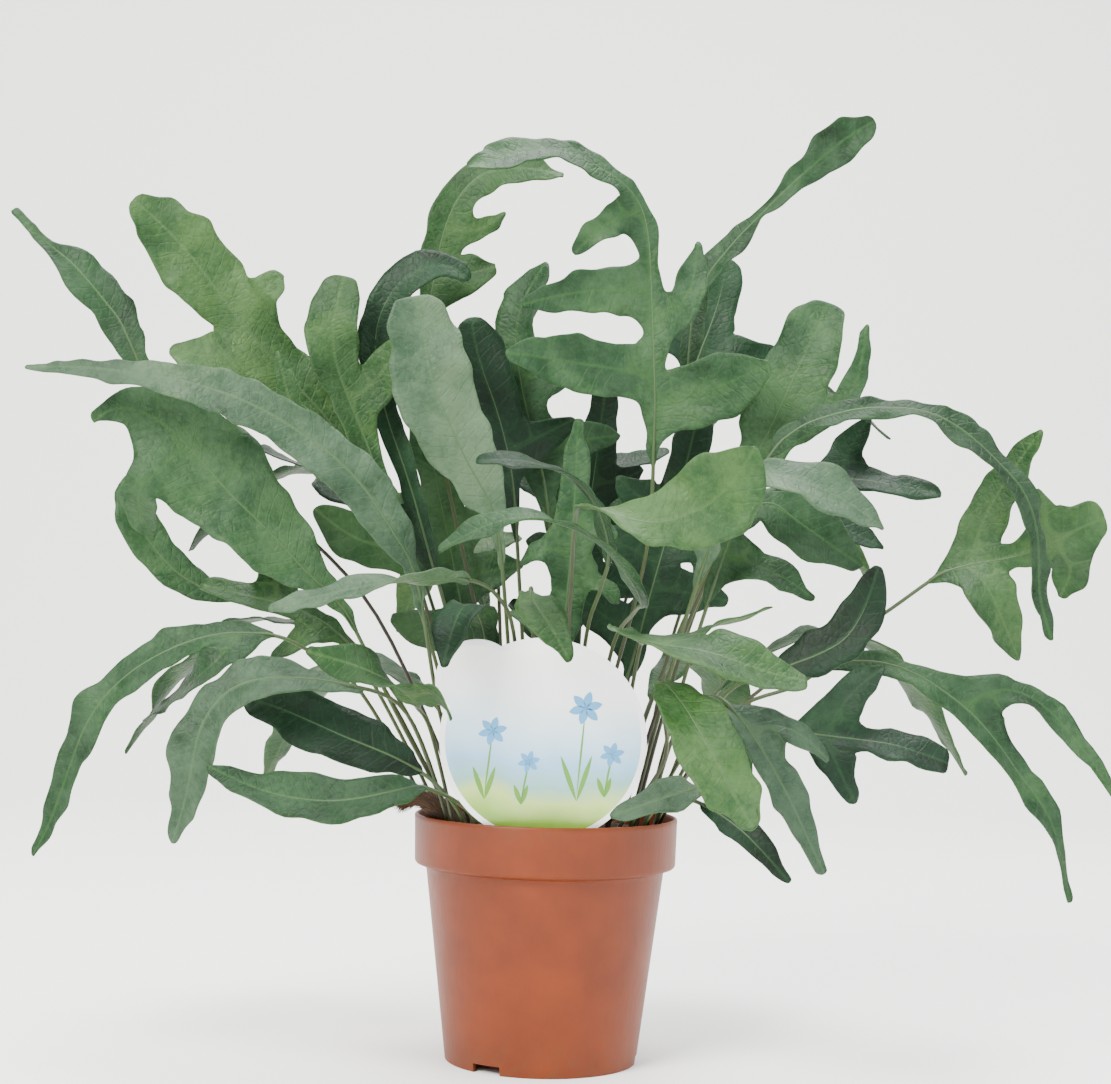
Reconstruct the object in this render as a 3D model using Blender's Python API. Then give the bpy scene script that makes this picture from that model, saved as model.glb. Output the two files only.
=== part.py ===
"""Blue star fern in its grower's pot: pot, peat, two creeping rhizomes, fronds and a stick-in label.

Metres, +Z up. The origin is on the pot's axis, on the surface that the pot stands on.
The front is -Y. Lengths below are in millimetres until MM turns them into metres.
"""
import math
import random

import bmesh
import bpy
from mathutils import Matrix, Vector

MM = 0.001
GAP = 0.35  # clear distance between pieces that touch

# Pot
RIM_RADIUS = 60.0
RIM_HEIGHT = 22.4
POT_HEIGHT = 111.0
WALL_TOP_RADIUS = 54.2
FOOT_RADIUS = 43.6
WALL = 1.5
FLOOR_HEIGHT = 4.5
POT_SIDES = 32
NOTCH_WIDTH = 14.0
NOTCH_HEIGHT = 4.0
NOTCH_COUNT = 3
NOTCH_TURN = -123.0  # degrees from +X, the notch left of the front
DRAIN_RADIUS = 4.0
DRAIN_CIRCLE = 27.0
DRAIN_COUNT = 6

# Peat
SOIL_TOP = 99.0
SOIL_BUMP = 1.6
SOIL_SIDES = 20
HOLE_DEPTH = 8.0
HOLE_RADIUS = 2.3

# Fronds
STALK_WIDTH = 2.8
STALK_THICK = 1.2
BLADE_THICK = 0.8
STALK_STEP = 26.0
BLADE_STEP = 12.0
CUP = 0.16  # how far a blade's edges rise, as a share of its half width
WAVE = 0.20  # how far they wave up and down, as a share of the half width
WAVE_LENGTH = 46.0
EDGE = 0.08  # how far its outline wavers, as a share of the half width
EDGE_LENGTH = 40.0

# Rhizomes: (x, y, z, radius) along each of the two stems
RHIZOME_SIDES = 8
RHIZOMES = {
    "rhizome_left": [(-14, -14, 99, 4.0), (-30, -18, 102, 6.5), (-44, -21, 111, 6.5),
                     (-54, -23, 119, 5.5), (-60, -24, 120, 5.0), (-65, -25, 116, 2.5)],
    "rhizome_back": [(6, 25, 98, 4.0), (18, 27, 100, 6.0), (32, 26, 101, 5.5), (44, 22, 100, 3.5)],
}

# Label
DISC_RADIUS = 44.9
DISC_CENTRE = (-2.1, 148.2)
SMALL_RADIUS = 18.3
SMALL_CENTRE = (-31.1, 173.5)
CARD_THICK = 0.9
CARD_FRONT = -50.0  # depth of the card where it passes the rim
CARD_LEAN = 6.0  # degrees, its top towards the front
STAKE_WIDTH = 11.0
STAKE_FOOT = 64.0

WORDS = {"front": (0, -1, 0), "back": (0, 1, 0), "left": (-1, 0, 0), "right": (1, 0, 0),
         "up": (0, 0, 1), "down": (0, 0, -1)}


def material(name, colour, roughness=0.6):
    """A plain material of one colour, given in linear light."""
    found = bpy.data.materials.get(name)
    if found:
        return found
    made = bpy.data.materials.new(name)
    made.use_nodes = True
    shader = made.node_tree.nodes["Principled BSDF"]
    shader.inputs["Base Color"].default_value = (*colour, 1.0)
    shader.inputs["Roughness"].default_value = roughness
    shader.inputs["Metallic"].default_value = 0.0
    made.diffuse_color = (*colour, 1.0)
    return made


def piece(name, bm, look, smooth=True):
    """Makes the bmesh an object of the scene, with its size turned from millimetres to metres."""
    bmesh.ops.scale(bm, vec=(MM, MM, MM), verts=bm.verts)
    mesh = bpy.data.meshes.new(name)
    bm.to_mesh(mesh)
    bm.free()
    mesh.materials.append(look)
    if smooth:
        mesh.shade_smooth()
        mesh.set_sharp_from_angle(angle=math.radians(40))
    made = bpy.data.objects.new(name, mesh)
    bpy.context.collection.objects.link(made)
    return made


def cutter(name, bm):
    """An object that only cuts: it is drawn as a wire and left out of the model."""
    made = piece(name, bm, material("cutter", (0.5, 0.5, 0.5)), smooth=False)
    made.hide_render = True
    made.display_type = "WIRE"
    return made


def cut(target, tool):
    """Takes the cutter away from the target with a live Boolean."""
    modifier = target.modifiers.new(tool.name, "BOOLEAN")
    modifier.operation = "DIFFERENCE"
    modifier.solver = "EXACT"
    modifier.object = tool


def turned(profile, sides):
    """Spins a profile of (radius, height) round the Z axis; a radius of 0 becomes a pole."""
    bm = bmesh.new()
    verts = [bm.verts.new((radius, 0, height)) for radius, height in profile]
    edges = [bm.edges.new(pair) for pair in zip(verts, verts[1:])]
    if profile[0][0] > 0 and profile[-1][0] > 0:
        edges.append(bm.edges.new((verts[-1], verts[0])))
    bmesh.ops.spin(bm, geom=verts + edges, cent=(0, 0, 0), axis=(0, 0, 1),
                   angle=math.tau, steps=sides, use_merge=True)
    bmesh.ops.remove_doubles(bm, verts=bm.verts, dist=0.01)
    bmesh.ops.recalc_face_normals(bm, faces=bm.faces)
    return bm


def make_pot():
    """A thin moulded pot: wide rim band, tapered wall, raised floor, foot with notches."""
    step = POT_HEIGHT - RIM_HEIGHT
    rim_inner = RIM_RADIUS - WALL
    wall_inner = WALL_TOP_RADIUS - WALL
    foot_inner = FOOT_RADIUS - WALL
    profile = [
        (0, FLOOR_HEIGHT),
        (foot_inner - 0.6, FLOOR_HEIGHT),
        (foot_inner - 0.2, 0),
        (FOOT_RADIUS - 0.4, 0),
        (FOOT_RADIUS, 0.8),
        (WALL_TOP_RADIUS, step - 2.2),
        (WALL_TOP_RADIUS + 1.2, step - 0.6),
        (RIM_RADIUS - 1.4, step),
        (RIM_RADIUS - 0.5, step + 1.2),
        (RIM_RADIUS, POT_HEIGHT - 0.8),
        (RIM_RADIUS - 0.6, POT_HEIGHT),
        (rim_inner + 0.2, POT_HEIGHT),
        (rim_inner - 0.1, POT_HEIGHT - 0.8),
        (rim_inner - 0.6, step + WALL),
        (wall_inner + 0.2, step - 1.0),
        (foot_inner, FLOOR_HEIGHT + WALL + 0.8),
        (foot_inner - 1.0, FLOOR_HEIGHT + WALL),
        (0, FLOOR_HEIGHT + WALL),
    ]
    pot = piece("pot", turned(profile, POT_SIDES), material("pot plastic", (0.44, 0.14, 0.055), 0.5))

    notches = bmesh.new()
    for index in range(NOTCH_COUNT):
        turn = math.radians(NOTCH_TURN + 360 / NOTCH_COUNT * index)
        place = (Matrix.Rotation(turn, 4, "Z") @ Matrix.Translation((FOOT_RADIUS, 0, 0))
                 @ Matrix.Diagonal((8 * WALL, NOTCH_WIDTH, 2 * NOTCH_HEIGHT, 1)))
        bmesh.ops.create_cube(notches, size=1.0, matrix=place)
    cut(pot, cutter("notch_cutter", notches))

    drains = bmesh.new()
    for index in range(DRAIN_COUNT):
        turn = math.tau * (index + 0.5) / DRAIN_COUNT
        place = (Matrix.Rotation(turn, 4, "Z")
                 @ Matrix.Translation((DRAIN_CIRCLE, 0, FLOOR_HEIGHT + WALL / 2)))
        bmesh.ops.create_cone(drains, cap_ends=True, segments=8, radius1=DRAIN_RADIUS,
                              radius2=DRAIN_RADIUS, depth=4 * WALL, matrix=place)
    cut(pot, cutter("drain_cutter", drains))
    return pot


def make_soil(roots, beds):
    """Peat that fills the pot, its top uneven, with a hole for each stalk and a slot for the stake."""
    step = POT_HEIGHT - RIM_HEIGHT
    clear = GAP + 0.3
    low = FLOOR_HEIGHT + WALL + GAP
    foot = FOOT_RADIUS - WALL - 1.0 - clear
    rim = RIM_RADIUS - WALL - 0.6 - clear
    profile = [
        (0, low),
        (foot, low),
        (WALL_TOP_RADIUS - WALL - clear, step),
        (rim, step + WALL + 1.0),
        (rim, SOIL_TOP - 3.0),
        (rim - 7, SOIL_TOP - 1.2),
        (rim - 19, SOIL_TOP),
        (rim - 33, SOIL_TOP + 0.6),
        (rim - 46, SOIL_TOP + 0.4),
        (0, SOIL_TOP + 0.8),
    ]
    bm = turned(profile, SOIL_SIDES)
    bmesh.ops.triangulate(bm, faces=bm.faces)
    rng = random.Random(4)
    for vert in bm.verts:
        bump = rng.uniform(-SOIL_BUMP, SOIL_BUMP)
        if vert.co.z > SOIL_TOP - 2.0:
            vert.co.z += bump
    soil = piece("soil", bm, material("peat", (0.035, 0.022, 0.014), 0.95), smooth=False)

    holes = bmesh.new()
    for x, y in roots:
        place = Matrix.Translation((x, y, SOIL_TOP - HOLE_DEPTH + 8.0))
        bmesh.ops.create_cone(holes, cap_ends=True, segments=5, radius1=HOLE_RADIUS,
                              radius2=HOLE_RADIUS, depth=16.0, matrix=place)
    cut(soil, cutter("hole_cutter", holes))
    slot = bmesh.new()
    size = (STAKE_WIDTH + 2 * GAP, CARD_THICK + 2 * GAP, 100.0)
    place = (card_place() @ Matrix.Translation((DISC_CENTRE[0], 0, STAKE_FOOT - GAP + size[2] / 2))
             @ Matrix.Diagonal((*size, 1)))
    bmesh.ops.create_cube(slot, size=1.0, matrix=place)
    cut(soil, cutter("slot_cutter", slot))
    for index, bed in enumerate(beds):
        cut(soil, cutter(f"bed_cutter_{index}", bed))
    return soil


def make_rhizome(stem, extra=0.0):
    """A closed tube of rings along a stem of (x, y, z, radius), thicker and longer by an extra."""
    route = [Vector(point[:3]) for point in stem]
    bm = bmesh.new()
    rings = []
    ends = [route[0] + (route[0] - route[1]).normalized() * extra,
            route[-1] + (route[-1] - route[-2]).normalized() * extra]
    for index, centre in enumerate([ends[0], *route[1:-1], ends[1]]):
        ahead = route[min(index + 1, len(route) - 1)] - route[max(index - 1, 0)]
        turn = ahead.to_track_quat("Z", "Y").to_matrix().to_4x4()
        ring = bmesh.ops.create_circle(bm, segments=RHIZOME_SIDES, radius=stem[index][3] + extra,
                                       matrix=Matrix.Translation(centre) @ turn)["verts"]
        rings.append(list({edge for vert in ring for edge in vert.link_edges}))
    for near, far in zip(rings, rings[1:]):
        bmesh.ops.bridge_loops(bm, edges=near + far)
    bmesh.ops.holes_fill(bm, edges=bm.edges, sides=RHIZOME_SIDES)
    bmesh.ops.recalc_face_normals(bm, faces=bm.faces)
    return bm


def curve_point(points, place):
    """The smooth curve through the points at a place counted in points from the first."""
    index = min(int(place), len(points) - 2)
    part = place - index
    before = points[max(index - 1, 0)]
    here, there = points[index], points[index + 1]
    after = points[min(index + 2, len(points) - 1)]
    return 0.5 * (2 * here + (there - before) * part
                  + (2 * before - 5 * here + 4 * there - after) * part ** 2
                  + (3 * here - before - 3 * there + after) * part ** 3)


def even_places(points, first, last, step):
    """Places from first to last, about one step apart along the curve."""
    fine = [first + (last - first) * index / 200 for index in range(201)]
    spots = [curve_point(points, place).to_3d() for place in fine]
    lengths = [0.0]
    for near, far in zip(spots, spots[1:]):
        lengths.append(lengths[-1] + (far - near).length)
    count = max(round(lengths[-1] / step), 1)
    places = []
    for index in range(count + 1):
        wanted = lengths[-1] * index / count
        at = next((k for k, length in enumerate(lengths) if length >= wanted - 1e-6), 200)
        places.append(fine[at])
    return places


def facings(words):
    """Turns words such as "front up > up" into directions that a blade's upper side faces."""
    found = []
    for group in words.split(">"):
        total = Vector((0, 0, 0))
        for word in group.split():
            total += Vector(WORDS[word])
        found.append(total)
    return found


def facing_at(found, share):
    """The direction at a share of the way along a frond."""
    place = share * (len(found) - 1)
    index = min(int(place), len(found) - 2) if len(found) > 1 else 0
    if len(found) == 1:
        return found[0]
    return found[index].lerp(found[index + 1], place - index).normalized()


def extend(bm, row, places):
    """Extrudes the edges that join a row of vertices and moves the new row to its places."""
    edges = [bm.edges.get(pair) for pair in zip(row, row[1:])]
    made = bmesh.ops.extrude_edge_only(bm, edges=edges)["geom"]
    verts = [item for item in made if isinstance(item, bmesh.types.BMVert)]
    new_row = [min(verts, key=lambda vert: (vert.co - old.co).length_squared) for old in row]
    for vert, place in zip(new_row, places):
        vert.co = place
    return new_row


def across(centre, along, facing, half, rise):
    """Three places across a blade: its left edge, its midrib and its right edge."""
    side = along.cross(facing).normalized()
    normal = side.cross(along).normalized()
    return [centre - side * half + normal * rise[0], centre, centre + side * half + normal * rise[1]]


def grow_lobe(bm, rows, station, side, tip, half, facing, rng):
    """Grows one lobe out of two neighbouring edges of the rachis, to its tip."""
    column = 2 if side > 0 else 0
    base = [rows[station + step][column] for step in (0, 1, 2)]
    if side > 0:
        base.reverse()
    start = base[1].co.copy()
    outward = (start - rows[station + 1][1].co).normalized()
    along = (rows[station + 2][1].co - rows[station][1].co).normalized()
    reach = (tip - start).length
    bend = start + (outward * 0.42 + along * 0.10) * reach
    base_half = (base[2].co - base[0].co).length / 2
    count = max(3, round(reach / 15))
    phase = rng.uniform(0, math.tau)
    row = base
    for index in range(1, count + 1):
        share = index / count
        centre = start.lerp(bend, share).lerp(bend.lerp(tip, share), share)
        ahead = (bend.lerp(tip, share) - start.lerp(bend, share)).normalized()
        width = lobe_half(share, base_half, half)
        rise = [width * (CUP + WAVE * math.sin(share * reach / WAVE_LENGTH * math.tau + phase + turn))
                for turn in (0, 2.2)]
        row = extend(bm, row, across(centre, ahead, facing, width, rise))


def lobe_half(share, base_half, half):
    """Half width of a lobe: from its base to its widest at a third, then round to a blunt tip."""
    if share < 0.35:
        ease = math.sin(share / 0.35 * math.pi / 2)
        return base_half + (half - base_half) * ease
    rest = (share - 0.35) / 0.65
    return max(half * (1 - rest ** 2.4) ** 0.7, 0.22 * half, 1.2)


def blade_sheet(route, blade_from, facing, lobes, seed):
    """The open sheet of one frond: stalk and rachis as one strip, lobes grown from its edges.

    route holds (x, y, z, half width). The vertices of the stalk are returned with the sheet.
    """
    rng = random.Random(seed)
    facing = [toward.normalized() for toward in facing]
    points = [Vector(point) for point in route]
    last = len(points) - 1
    places = [0.0, 1.0]
    for near in range(1, blade_from):
        places += even_places(points, near, near + 1, STALK_STEP)[1:]
    blade_start = len(places) - 1
    places += even_places(points, blade_from, last, BLADE_STEP)[1:]
    bm = bmesh.new()
    rows = []
    walked = 0.0
    phases = [rng.uniform(0, math.tau) for _ in range(3)]
    previous = None
    for index, place in enumerate(places):
        point = curve_point(points, place)
        centre = point.to_3d()
        walked += (centre - previous).length if previous else 0.0
        previous = centre
        ahead = curve_point(points, min(place + 0.05, last)) - curve_point(points, max(place - 0.05, 0))
        along = ahead.to_3d().normalized()
        share = max((index - blade_start) / (len(places) - 1 - blade_start), 0.0)
        half = max(point.w, STALK_WIDTH / 2)
        rise = (0.0, 0.0)
        if index > blade_start:
            half *= 1 + EDGE * math.sin(walked / EDGE_LENGTH * math.tau + phases[2])
            rise = [half * (CUP + WAVE * math.sin(walked / WAVE_LENGTH * math.tau + phase))
                    for phase in phases[:2]]
        spots = across(centre, along, facing_at(facing, share), half, rise)
        if rows:
            rows.append(extend(bm, rows[-1], spots))
        else:
            verts = [bm.verts.new(spot) for spot in spots]
            for pair in zip(verts, verts[1:]):
                bm.edges.new(pair)
            rows.append(verts)
    blade_rows = rows[blade_start:]
    for share, side, x, y, z, half in lobes:
        station = min(round(share * (len(blade_rows) - 1)), len(blade_rows) - 4)
        grow_lobe(bm, blade_rows, station, side, Vector((x, y, z)), half, facing_at(facing, share), rng)
    bm.verts.index_update()
    stalk_verts = {vert.index for row in rows[:blade_start] for vert in row}
    bmesh.ops.recalc_face_normals(bm, faces=bm.faces)
    first = rows[blade_start + 1][1]
    if first.link_faces[0].normal.dot(facing[0]) < 0:
        bmesh.ops.reverse_faces(bm, faces=bm.faces)
    bmesh.ops.triangulate(bm, faces=bm.faces, quad_method="FIXED")
    return bm, stalk_verts


def frond(name, tone, root, stalk, blade, face, lobes=()):
    """A frond laid out by hand: face says in words which way its upper side looks along it."""
    build_frond(name, tone, root, stalk, blade, facings(face), lobes)


def build_frond(name, tone, root, stalk, blade, facing, lobes):
    """One frond, stalk and blade in one piece, from its hole in the peat to its tip.

    root is (x, y) on the peat; stalk holds (x, y, z); blade holds (x, y, z, half width).
    A lobe is (share of the blade, LEFT or RIGHT, tip x, tip y, tip z, half width).
    """
    thin = STALK_WIDTH / 2
    route = [(*root, SOIL_TOP - HOLE_DEPTH + 1.0, thin), (*root, SOIL_TOP + 6.0, thin)]
    route += [(*point, thin) for point in stalk]
    blade_from = len(route)
    route += blade
    bm, stalk_verts = blade_sheet(route, blade_from, facing, lobes, name)
    made = piece(name, bm, material(*LEAF_TONES[tone]))
    group = made.vertex_groups.new(name="stalk")
    group.add([vert.index for vert in made.data.vertices], 1.0, "REPLACE")
    leaf = [vert.index for vert in made.data.vertices if vert.index not in stalk_verts]
    group.add(leaf, BLADE_THICK / STALK_THICK, "REPLACE")
    shell = made.modifiers.new("thickness", "SOLIDIFY")
    shell.thickness = STALK_THICK * MM
    shell.offset = 0.0
    shell.vertex_group = group.name
    shell.thickness_vertex_group = 0.0
    ROOTS.append(root)


def even_lobes(blade, facing, pairs, length):
    """Lobes that alternate left and right along a blade and grow shorter towards its tip."""
    points = [Vector(point[:3]) for point in blade]
    lobes = []
    for index in range(2 * pairs):
        share = 0.04 + 0.28 * index / pairs
        place = share * (len(points) - 1)
        at = curve_point(points, place)
        ahead = (curve_point(points, place + 0.1) - at).normalized()
        side = ahead.cross(facing_at(facing, share)).normalized()
        hand = RIGHT if index % 2 else LEFT
        reach = length * (1 - 0.15 * index / pairs)
        tip = at + side * hand * 0.85 * reach + ahead * 0.5 * reach
        lobes.append((share, hand, *tip, 0.24 * reach))
    return lobes


def full_frond(name, tone, root, stalk, blade, face, pairs, length):
    """An upright frond of the bush's inside, with its lobes set out by rule."""
    facing = facings(face)
    build_frond(name, tone, root, stalk, blade, facing, even_lobes(blade, facing, pairs, length))


def arching_frond(name, tone, root, azimuth, reach, crest, tip, half, pairs=0):
    """A frond that rises, arches outward along an azimuth in degrees and droops to its tip.

    Its upper side faces inward as it rises, up at the crest and outward as it droops.
    """
    turn = math.radians(azimuth)
    out = Vector((math.cos(turn), math.sin(turn), 0))
    up = Vector((0, 0, 1))
    rise = crest - SOIL_TOP
    heights = [(0.10, SOIL_TOP + 0.50 * rise), (0.24, SOIL_TOP + 0.80 * rise), (0.42, crest - 0.05 * rise),
               (0.60, crest), (0.82, crest - 0.40 * (crest - tip)), (1.0, tip)]
    spots = [Vector((*root, 0)) + out * (share * reach) + up * z for share, z in heights]
    middle = 5.0 if pairs else half
    widths = [4.0, middle, middle, half, 2.0]
    blade = [(*spot, width) for spot, width in zip(spots[1:], widths)]
    facing = [0.8 * up - out, up, up + out]
    lobes = even_lobes(blade, facing, pairs, 0.34 * reach)
    build_frond(name, tone, root, [tuple(spots[0])], blade, facing, lobes)


def card_place():
    """Turns the card about the line where it passes the rim, and takes it to its depth."""
    pivot = Matrix.Translation((0, CARD_FRONT, POT_HEIGHT))
    return pivot @ Matrix.Rotation(math.radians(CARD_LEAN), 4, "X") @ Matrix.Translation((0, 0, -POT_HEIGHT))


def arc(centre, radius, first, last, steps):
    """Points along a circle from one turn to another, in degrees."""
    turns = [math.radians(first + (last - first) * index / steps) for index in range(steps + 1)]
    return [(centre.x + radius * math.cos(turn), centre.y + radius * math.sin(turn)) for turn in turns]


def make_label():
    """A card of two joined discs with a pointed stake below, punched from one sheet."""
    bm = bmesh.new()
    big, small = Vector(DISC_CENTRE), Vector(SMALL_CENTRE)
    stake = STAKE_WIDTH / 2
    apart = small - big
    toward = math.degrees(math.atan2(apart.y, apart.x))
    chord = (DISC_RADIUS ** 2 - SMALL_RADIUS ** 2 + apart.length ** 2) / (2 * apart.length)
    on_big = math.degrees(math.acos(chord / DISC_RADIUS))
    on_small = math.degrees(math.acos((apart.length - chord) / SMALL_RADIUS))
    foot_turn = math.degrees(math.asin(stake / DISC_RADIUS))
    outline = [(big.x - stake, STAKE_FOOT + 12), (big.x, STAKE_FOOT), (big.x + stake, STAKE_FOOT + 12)]
    outline += arc(big, DISC_RADIUS, -90 + foot_turn, toward - on_big, 22)
    outline += arc(small, SMALL_RADIUS, toward + on_small - 180, toward + 180 - on_small, 12)[1:]
    outline += arc(big, DISC_RADIUS, toward + on_big, 270 - foot_turn, 11)[1:]
    verts = [bm.verts.new((x, CARD_THICK / 2, z)) for x, z in outline]
    face = bm.faces.new(verts)
    wall = bmesh.ops.extrude_face_region(bm, geom=[face])["geom"]
    moved = [item for item in wall if isinstance(item, bmesh.types.BMVert)]
    bmesh.ops.translate(bm, vec=(0, -CARD_THICK, 0), verts=moved)
    bmesh.ops.recalc_face_normals(bm, faces=bm.faces)
    bmesh.ops.transform(bm, matrix=card_place(), verts=bm.verts)
    return piece("label", bm, material("label card", (0.72, 0.80, 0.82), 0.4), smooth=False)


for old in list(bpy.data.objects):
    bpy.data.objects.remove(old, do_unlink=True)

LEFT, RIGHT = -1, 1
ROOTS = []
LEAF_TONES = {
    "blue": ("blue-green leaf", (0.11, 0.20, 0.15), 0.55),
    "grey": ("grey-green leaf", (0.20, 0.28, 0.23), 0.6),
    "fresh": ("fresh green leaf", (0.13, 0.28, 0.10), 0.5),
    "dark": ("dark green leaf", (0.05, 0.11, 0.06), 0.5),
}

# Fronds that make the upper outline
frond("frond_top_arch", "blue", (13, -8), [(28, -14, 170), (42, -22, 232)],
      [(44, -28, 285, 4), (43, -30, 318, 5), (41, -31, 350, 5), (39, -34, 372, 5), (32, -38, 390, 4),
       (12, -47, 402, 8), (-5, -55, 405, 9), (-20, -64, 401, 10), (-32, -72, 395, 8), (-40, -80, 391, 2)],
      "front > front > front up > up front",
      [(0.02, RIGHT, 93, -52, 314, 15.5), (0.08, LEFT, -23, -46, 317, 13), (0.18, RIGHT, 62, -24, 372, 8),
       (0.26, LEFT, -16, -48, 338, 10), (0.44, LEFT, 6, -42, 362, 7)])
frond("frond_top_left", "fresh", (-14, 18), [(-32, 20, 190), (-52, 24, 270)],
      [(-61, 24, 325, 5), (-58, 22, 366, 8), (-51, 20, 392, 9), (-38, 18, 408, 10), (-20, 14, 411, 9),
       (1, 8, 406, 2)],
      "front > front > front up",
      [(0.15, RIGHT, -30, 16, 364, 9.5), (0.38, RIGHT, -26, 20, 391, 4.5)])
frond("frond_top_right", "blue", (22, 12), [(42, 28, 200), (60, 34, 280)],
      [(62, 36, 320, 4), (66, 37, 356, 6.5), (82, 37, 381, 6.5), (93, 36, 393, 4), (107, 35, 408, 3),
       (122, 34, 422, 9), (136, 32, 434, 10), (148, 30, 441, 3)],
      "front > left front > front up > front > front")
frond("frond_back_right_lobed", "dark", (10, 35), [(36, 62, 210), (60, 82, 290)],
      [(68, 88, 325, 6.5), (76, 92, 348, 10), (82, 94, 368, 11), (84, 95, 384, 5)],
      "front > front up", [(0.05, RIGHT, 112, 88, 334, 10), (0.1, LEFT, 42, 82, 336, 10)])
frond("frond_upper_left", "fresh", (-24, 13), [(-50, 14, 180), (-72, 14, 240)],
      [(-101, 12, 283, 8), (-124, 10, 309, 13.5), (-146, 8, 333, 12.5), (-169, 6, 362, 17),
       (-184, 4, 378, 14.5), (-198, 2, 389, 3)],
      "front up > front > front",
      [(0.30, LEFT, -180, 10, 322, 12), (0.42, RIGHT, -128, 6, 356, 8.5)])
frond("frond_far_left", "blue", (-35, 4), [(-80, 0, 200), (-131, -2, 252), (-166, -2, 287)],
      [(-191, -2, 311, 4), (-199, -2, 329, 9), (-213, -2, 346, 10), (-225, -1, 359, 8.5),
       (-238, 0, 369, 2.5), (-253, 0, 383, 2)], "front > front up")

# Fronds of the middle
frond("frond_broad_grey", "grey", (-14, -4), [(-18, -28, 180)],
      [(-24, -38, 236, 3), (-30, -40, 254, 9), (-39, -41, 270, 13.5), (-48, -42, 288, 17),
       (-56, -42, 308, 17.5), (-60, -40, 328, 15.5), (-64, -38, 342, 10)], "front > front > front up")
frond("frond_middle_dark", "dark", (-6, 6), [(-12, -2, 180)],
      [(-18, -8, 253, 3), (-22, -9, 276, 9), (-29, -10, 299, 12.5), (-37, -10, 322, 12.5),
       (-40, -10, 337, 5)],
      "front right > front",
      [(0.0, LEFT, -54, -8, 268, 9), (0.2, RIGHT, 8, -12, 292, 9)])
frond("frond_behind_arch", "blue", (4, 14), [(2, 8, 190)],
      [(-3, 6, 253, 3), (-8, 6, 276, 10), (-15, 6, 304, 11), (-20, 7, 332, 11), (-14, 8, 352, 10),
       (-6, 8, 366, 2)],
      "front > front left",
      [(0.1, RIGHT, 30, 8, 286, 9), (0.35, RIGHT, 24, 10, 326, 8)])
frond("frond_left_curl", "dark", (-25, 4), [(-42, 2, 180)],
      [(-56, 1, 228, 4), (-68, 0, 266, 5), (-79, 0, 296, 6.5), (-84, -1, 324, 8.5), (-80, -2, 343, 9),
       (-69, -3, 357, 10), (-54, -4, 363, 8), (-41, -5, 355, 2)], "front left > front > front up",
      [(0.0, LEFT, -98, 6, 266, 11)])
frond("frond_left_cupped", "fresh", (-31, -5), [(-52, -8, 180)],
      [(-66, -11, 222, 4), (-77, -14, 256, 5), (-87, -16, 282, 6.5), (-97, -18, 305, 9),
       (-102, -20, 323, 11), (-100, -20, 339, 12.5), (-97, -18, 353, 8)], "front > front up",
      [(0.0, LEFT, -108, -17, 248, 12), (0.27, LEFT, -126, -24, 318, 8.5),
       (0.50, RIGHT, -70, -24, 326, 9.5)])

# Left side
frond("frond_long_ribbon", "grey", (-33, -29), [(-48, -45, 160)],
      [(-58, -58, 214, 3), (-69, -68, 237, 9), (-86, -72, 260, 11), (-112, -74, 280, 10.5),
       (-140, -72, 293, 9.5), (-168, -68, 300, 7.5), (-205, -60, 304, 4), (-232, -52, 305, 2)],
      "front up > front > front up")
frond("frond_big_left", "blue", (-41, -7), [(-70, -22, 160)],
      [(-92, -34, 203, 3), (-105, -38, 215, 9), (-120, -40, 231, 15.5), (-140, -42, 250, 21.5),
       (-158, -44, 269, 21.5), (-174, -44, 284, 15.5), (-192, -44, 290, 8), (-203, -44, 282, 2)],
      "front up > front > front",
      [(0.62, LEFT, -178, -28, 232, 8.5)])
frond("frond_left_middle", "blue", (-43, 13), [(-90, 15, 185), (-130, 13, 205)],
      [(-150, 11, 207, 3), (-170, 9, 215, 8), (-187, 7, 232, 10), (-196, 5, 251, 9), (-193, 3, 266, 3)],
      "front > front up")
frond("frond_left_lobed", "fresh", (-47, 3), [(-75, -4, 160)],
      [(-96, -8, 191, 4), (-119, -10, 203, 5), (-140, -11, 208, 8), (-159, -12, 212, 3)], "front up",
      [(0.05, LEFT, -128, -9, 177, 8.5), (0.30, RIGHT, -132, -16, 236, 8.5)])
frond("frond_pale_left", "grey", (-10, -36), [(-15, -50, 188), (-24, -70, 211)],
      [(-38, -98, 217, 4), (-50, -106, 215, 9), (-73, -110, 213, 9), (-93, -112, 208, 6.5),
       (-115, -114, 202, 2)],
      "back up > up > front up > front up")
frond("frond_low_left_arch", "blue", (-50, -8), [(-84, -20, 165), (-110, -27, 185)],
      [(-129, -29, 191, 5), (-151, -30, 189, 9), (-172, -30, 181, 10), (-190, -30, 169, 10),
       (-204, -30, 151, 9), (-212, -30, 128, 8), (-219, -30, 106, 5), (-227, -30, 90, 2)],
      "front up > front up > front left",
      [(0.0, LEFT, -184, -8, 150, 8.5)])
frond("frond_grey_hanging", "grey", (-42, -30), [(-62, -46, 158)],
      [(-88, -70, 171, 4), (-112, -78, 173, 10), (-133, -80, 169, 11), (-145, -80, 155, 11),
       (-149, -80, 134, 10.5), (-153, -80, 117, 8), (-157, -80, 103, 2)],
      "front up > front up > front left")
frond("frond_dark_left", "dark", (-34, -40), [(-40, -44, 118), (-48, -53, 128)],
      [(-57, -58, 135, 4), (-72, -60, 142, 10), (-93, -61, 150, 13.5), (-114, -60, 159, 10),
       (-133, -58, 165, 2)],
      "front up > front")
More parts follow.
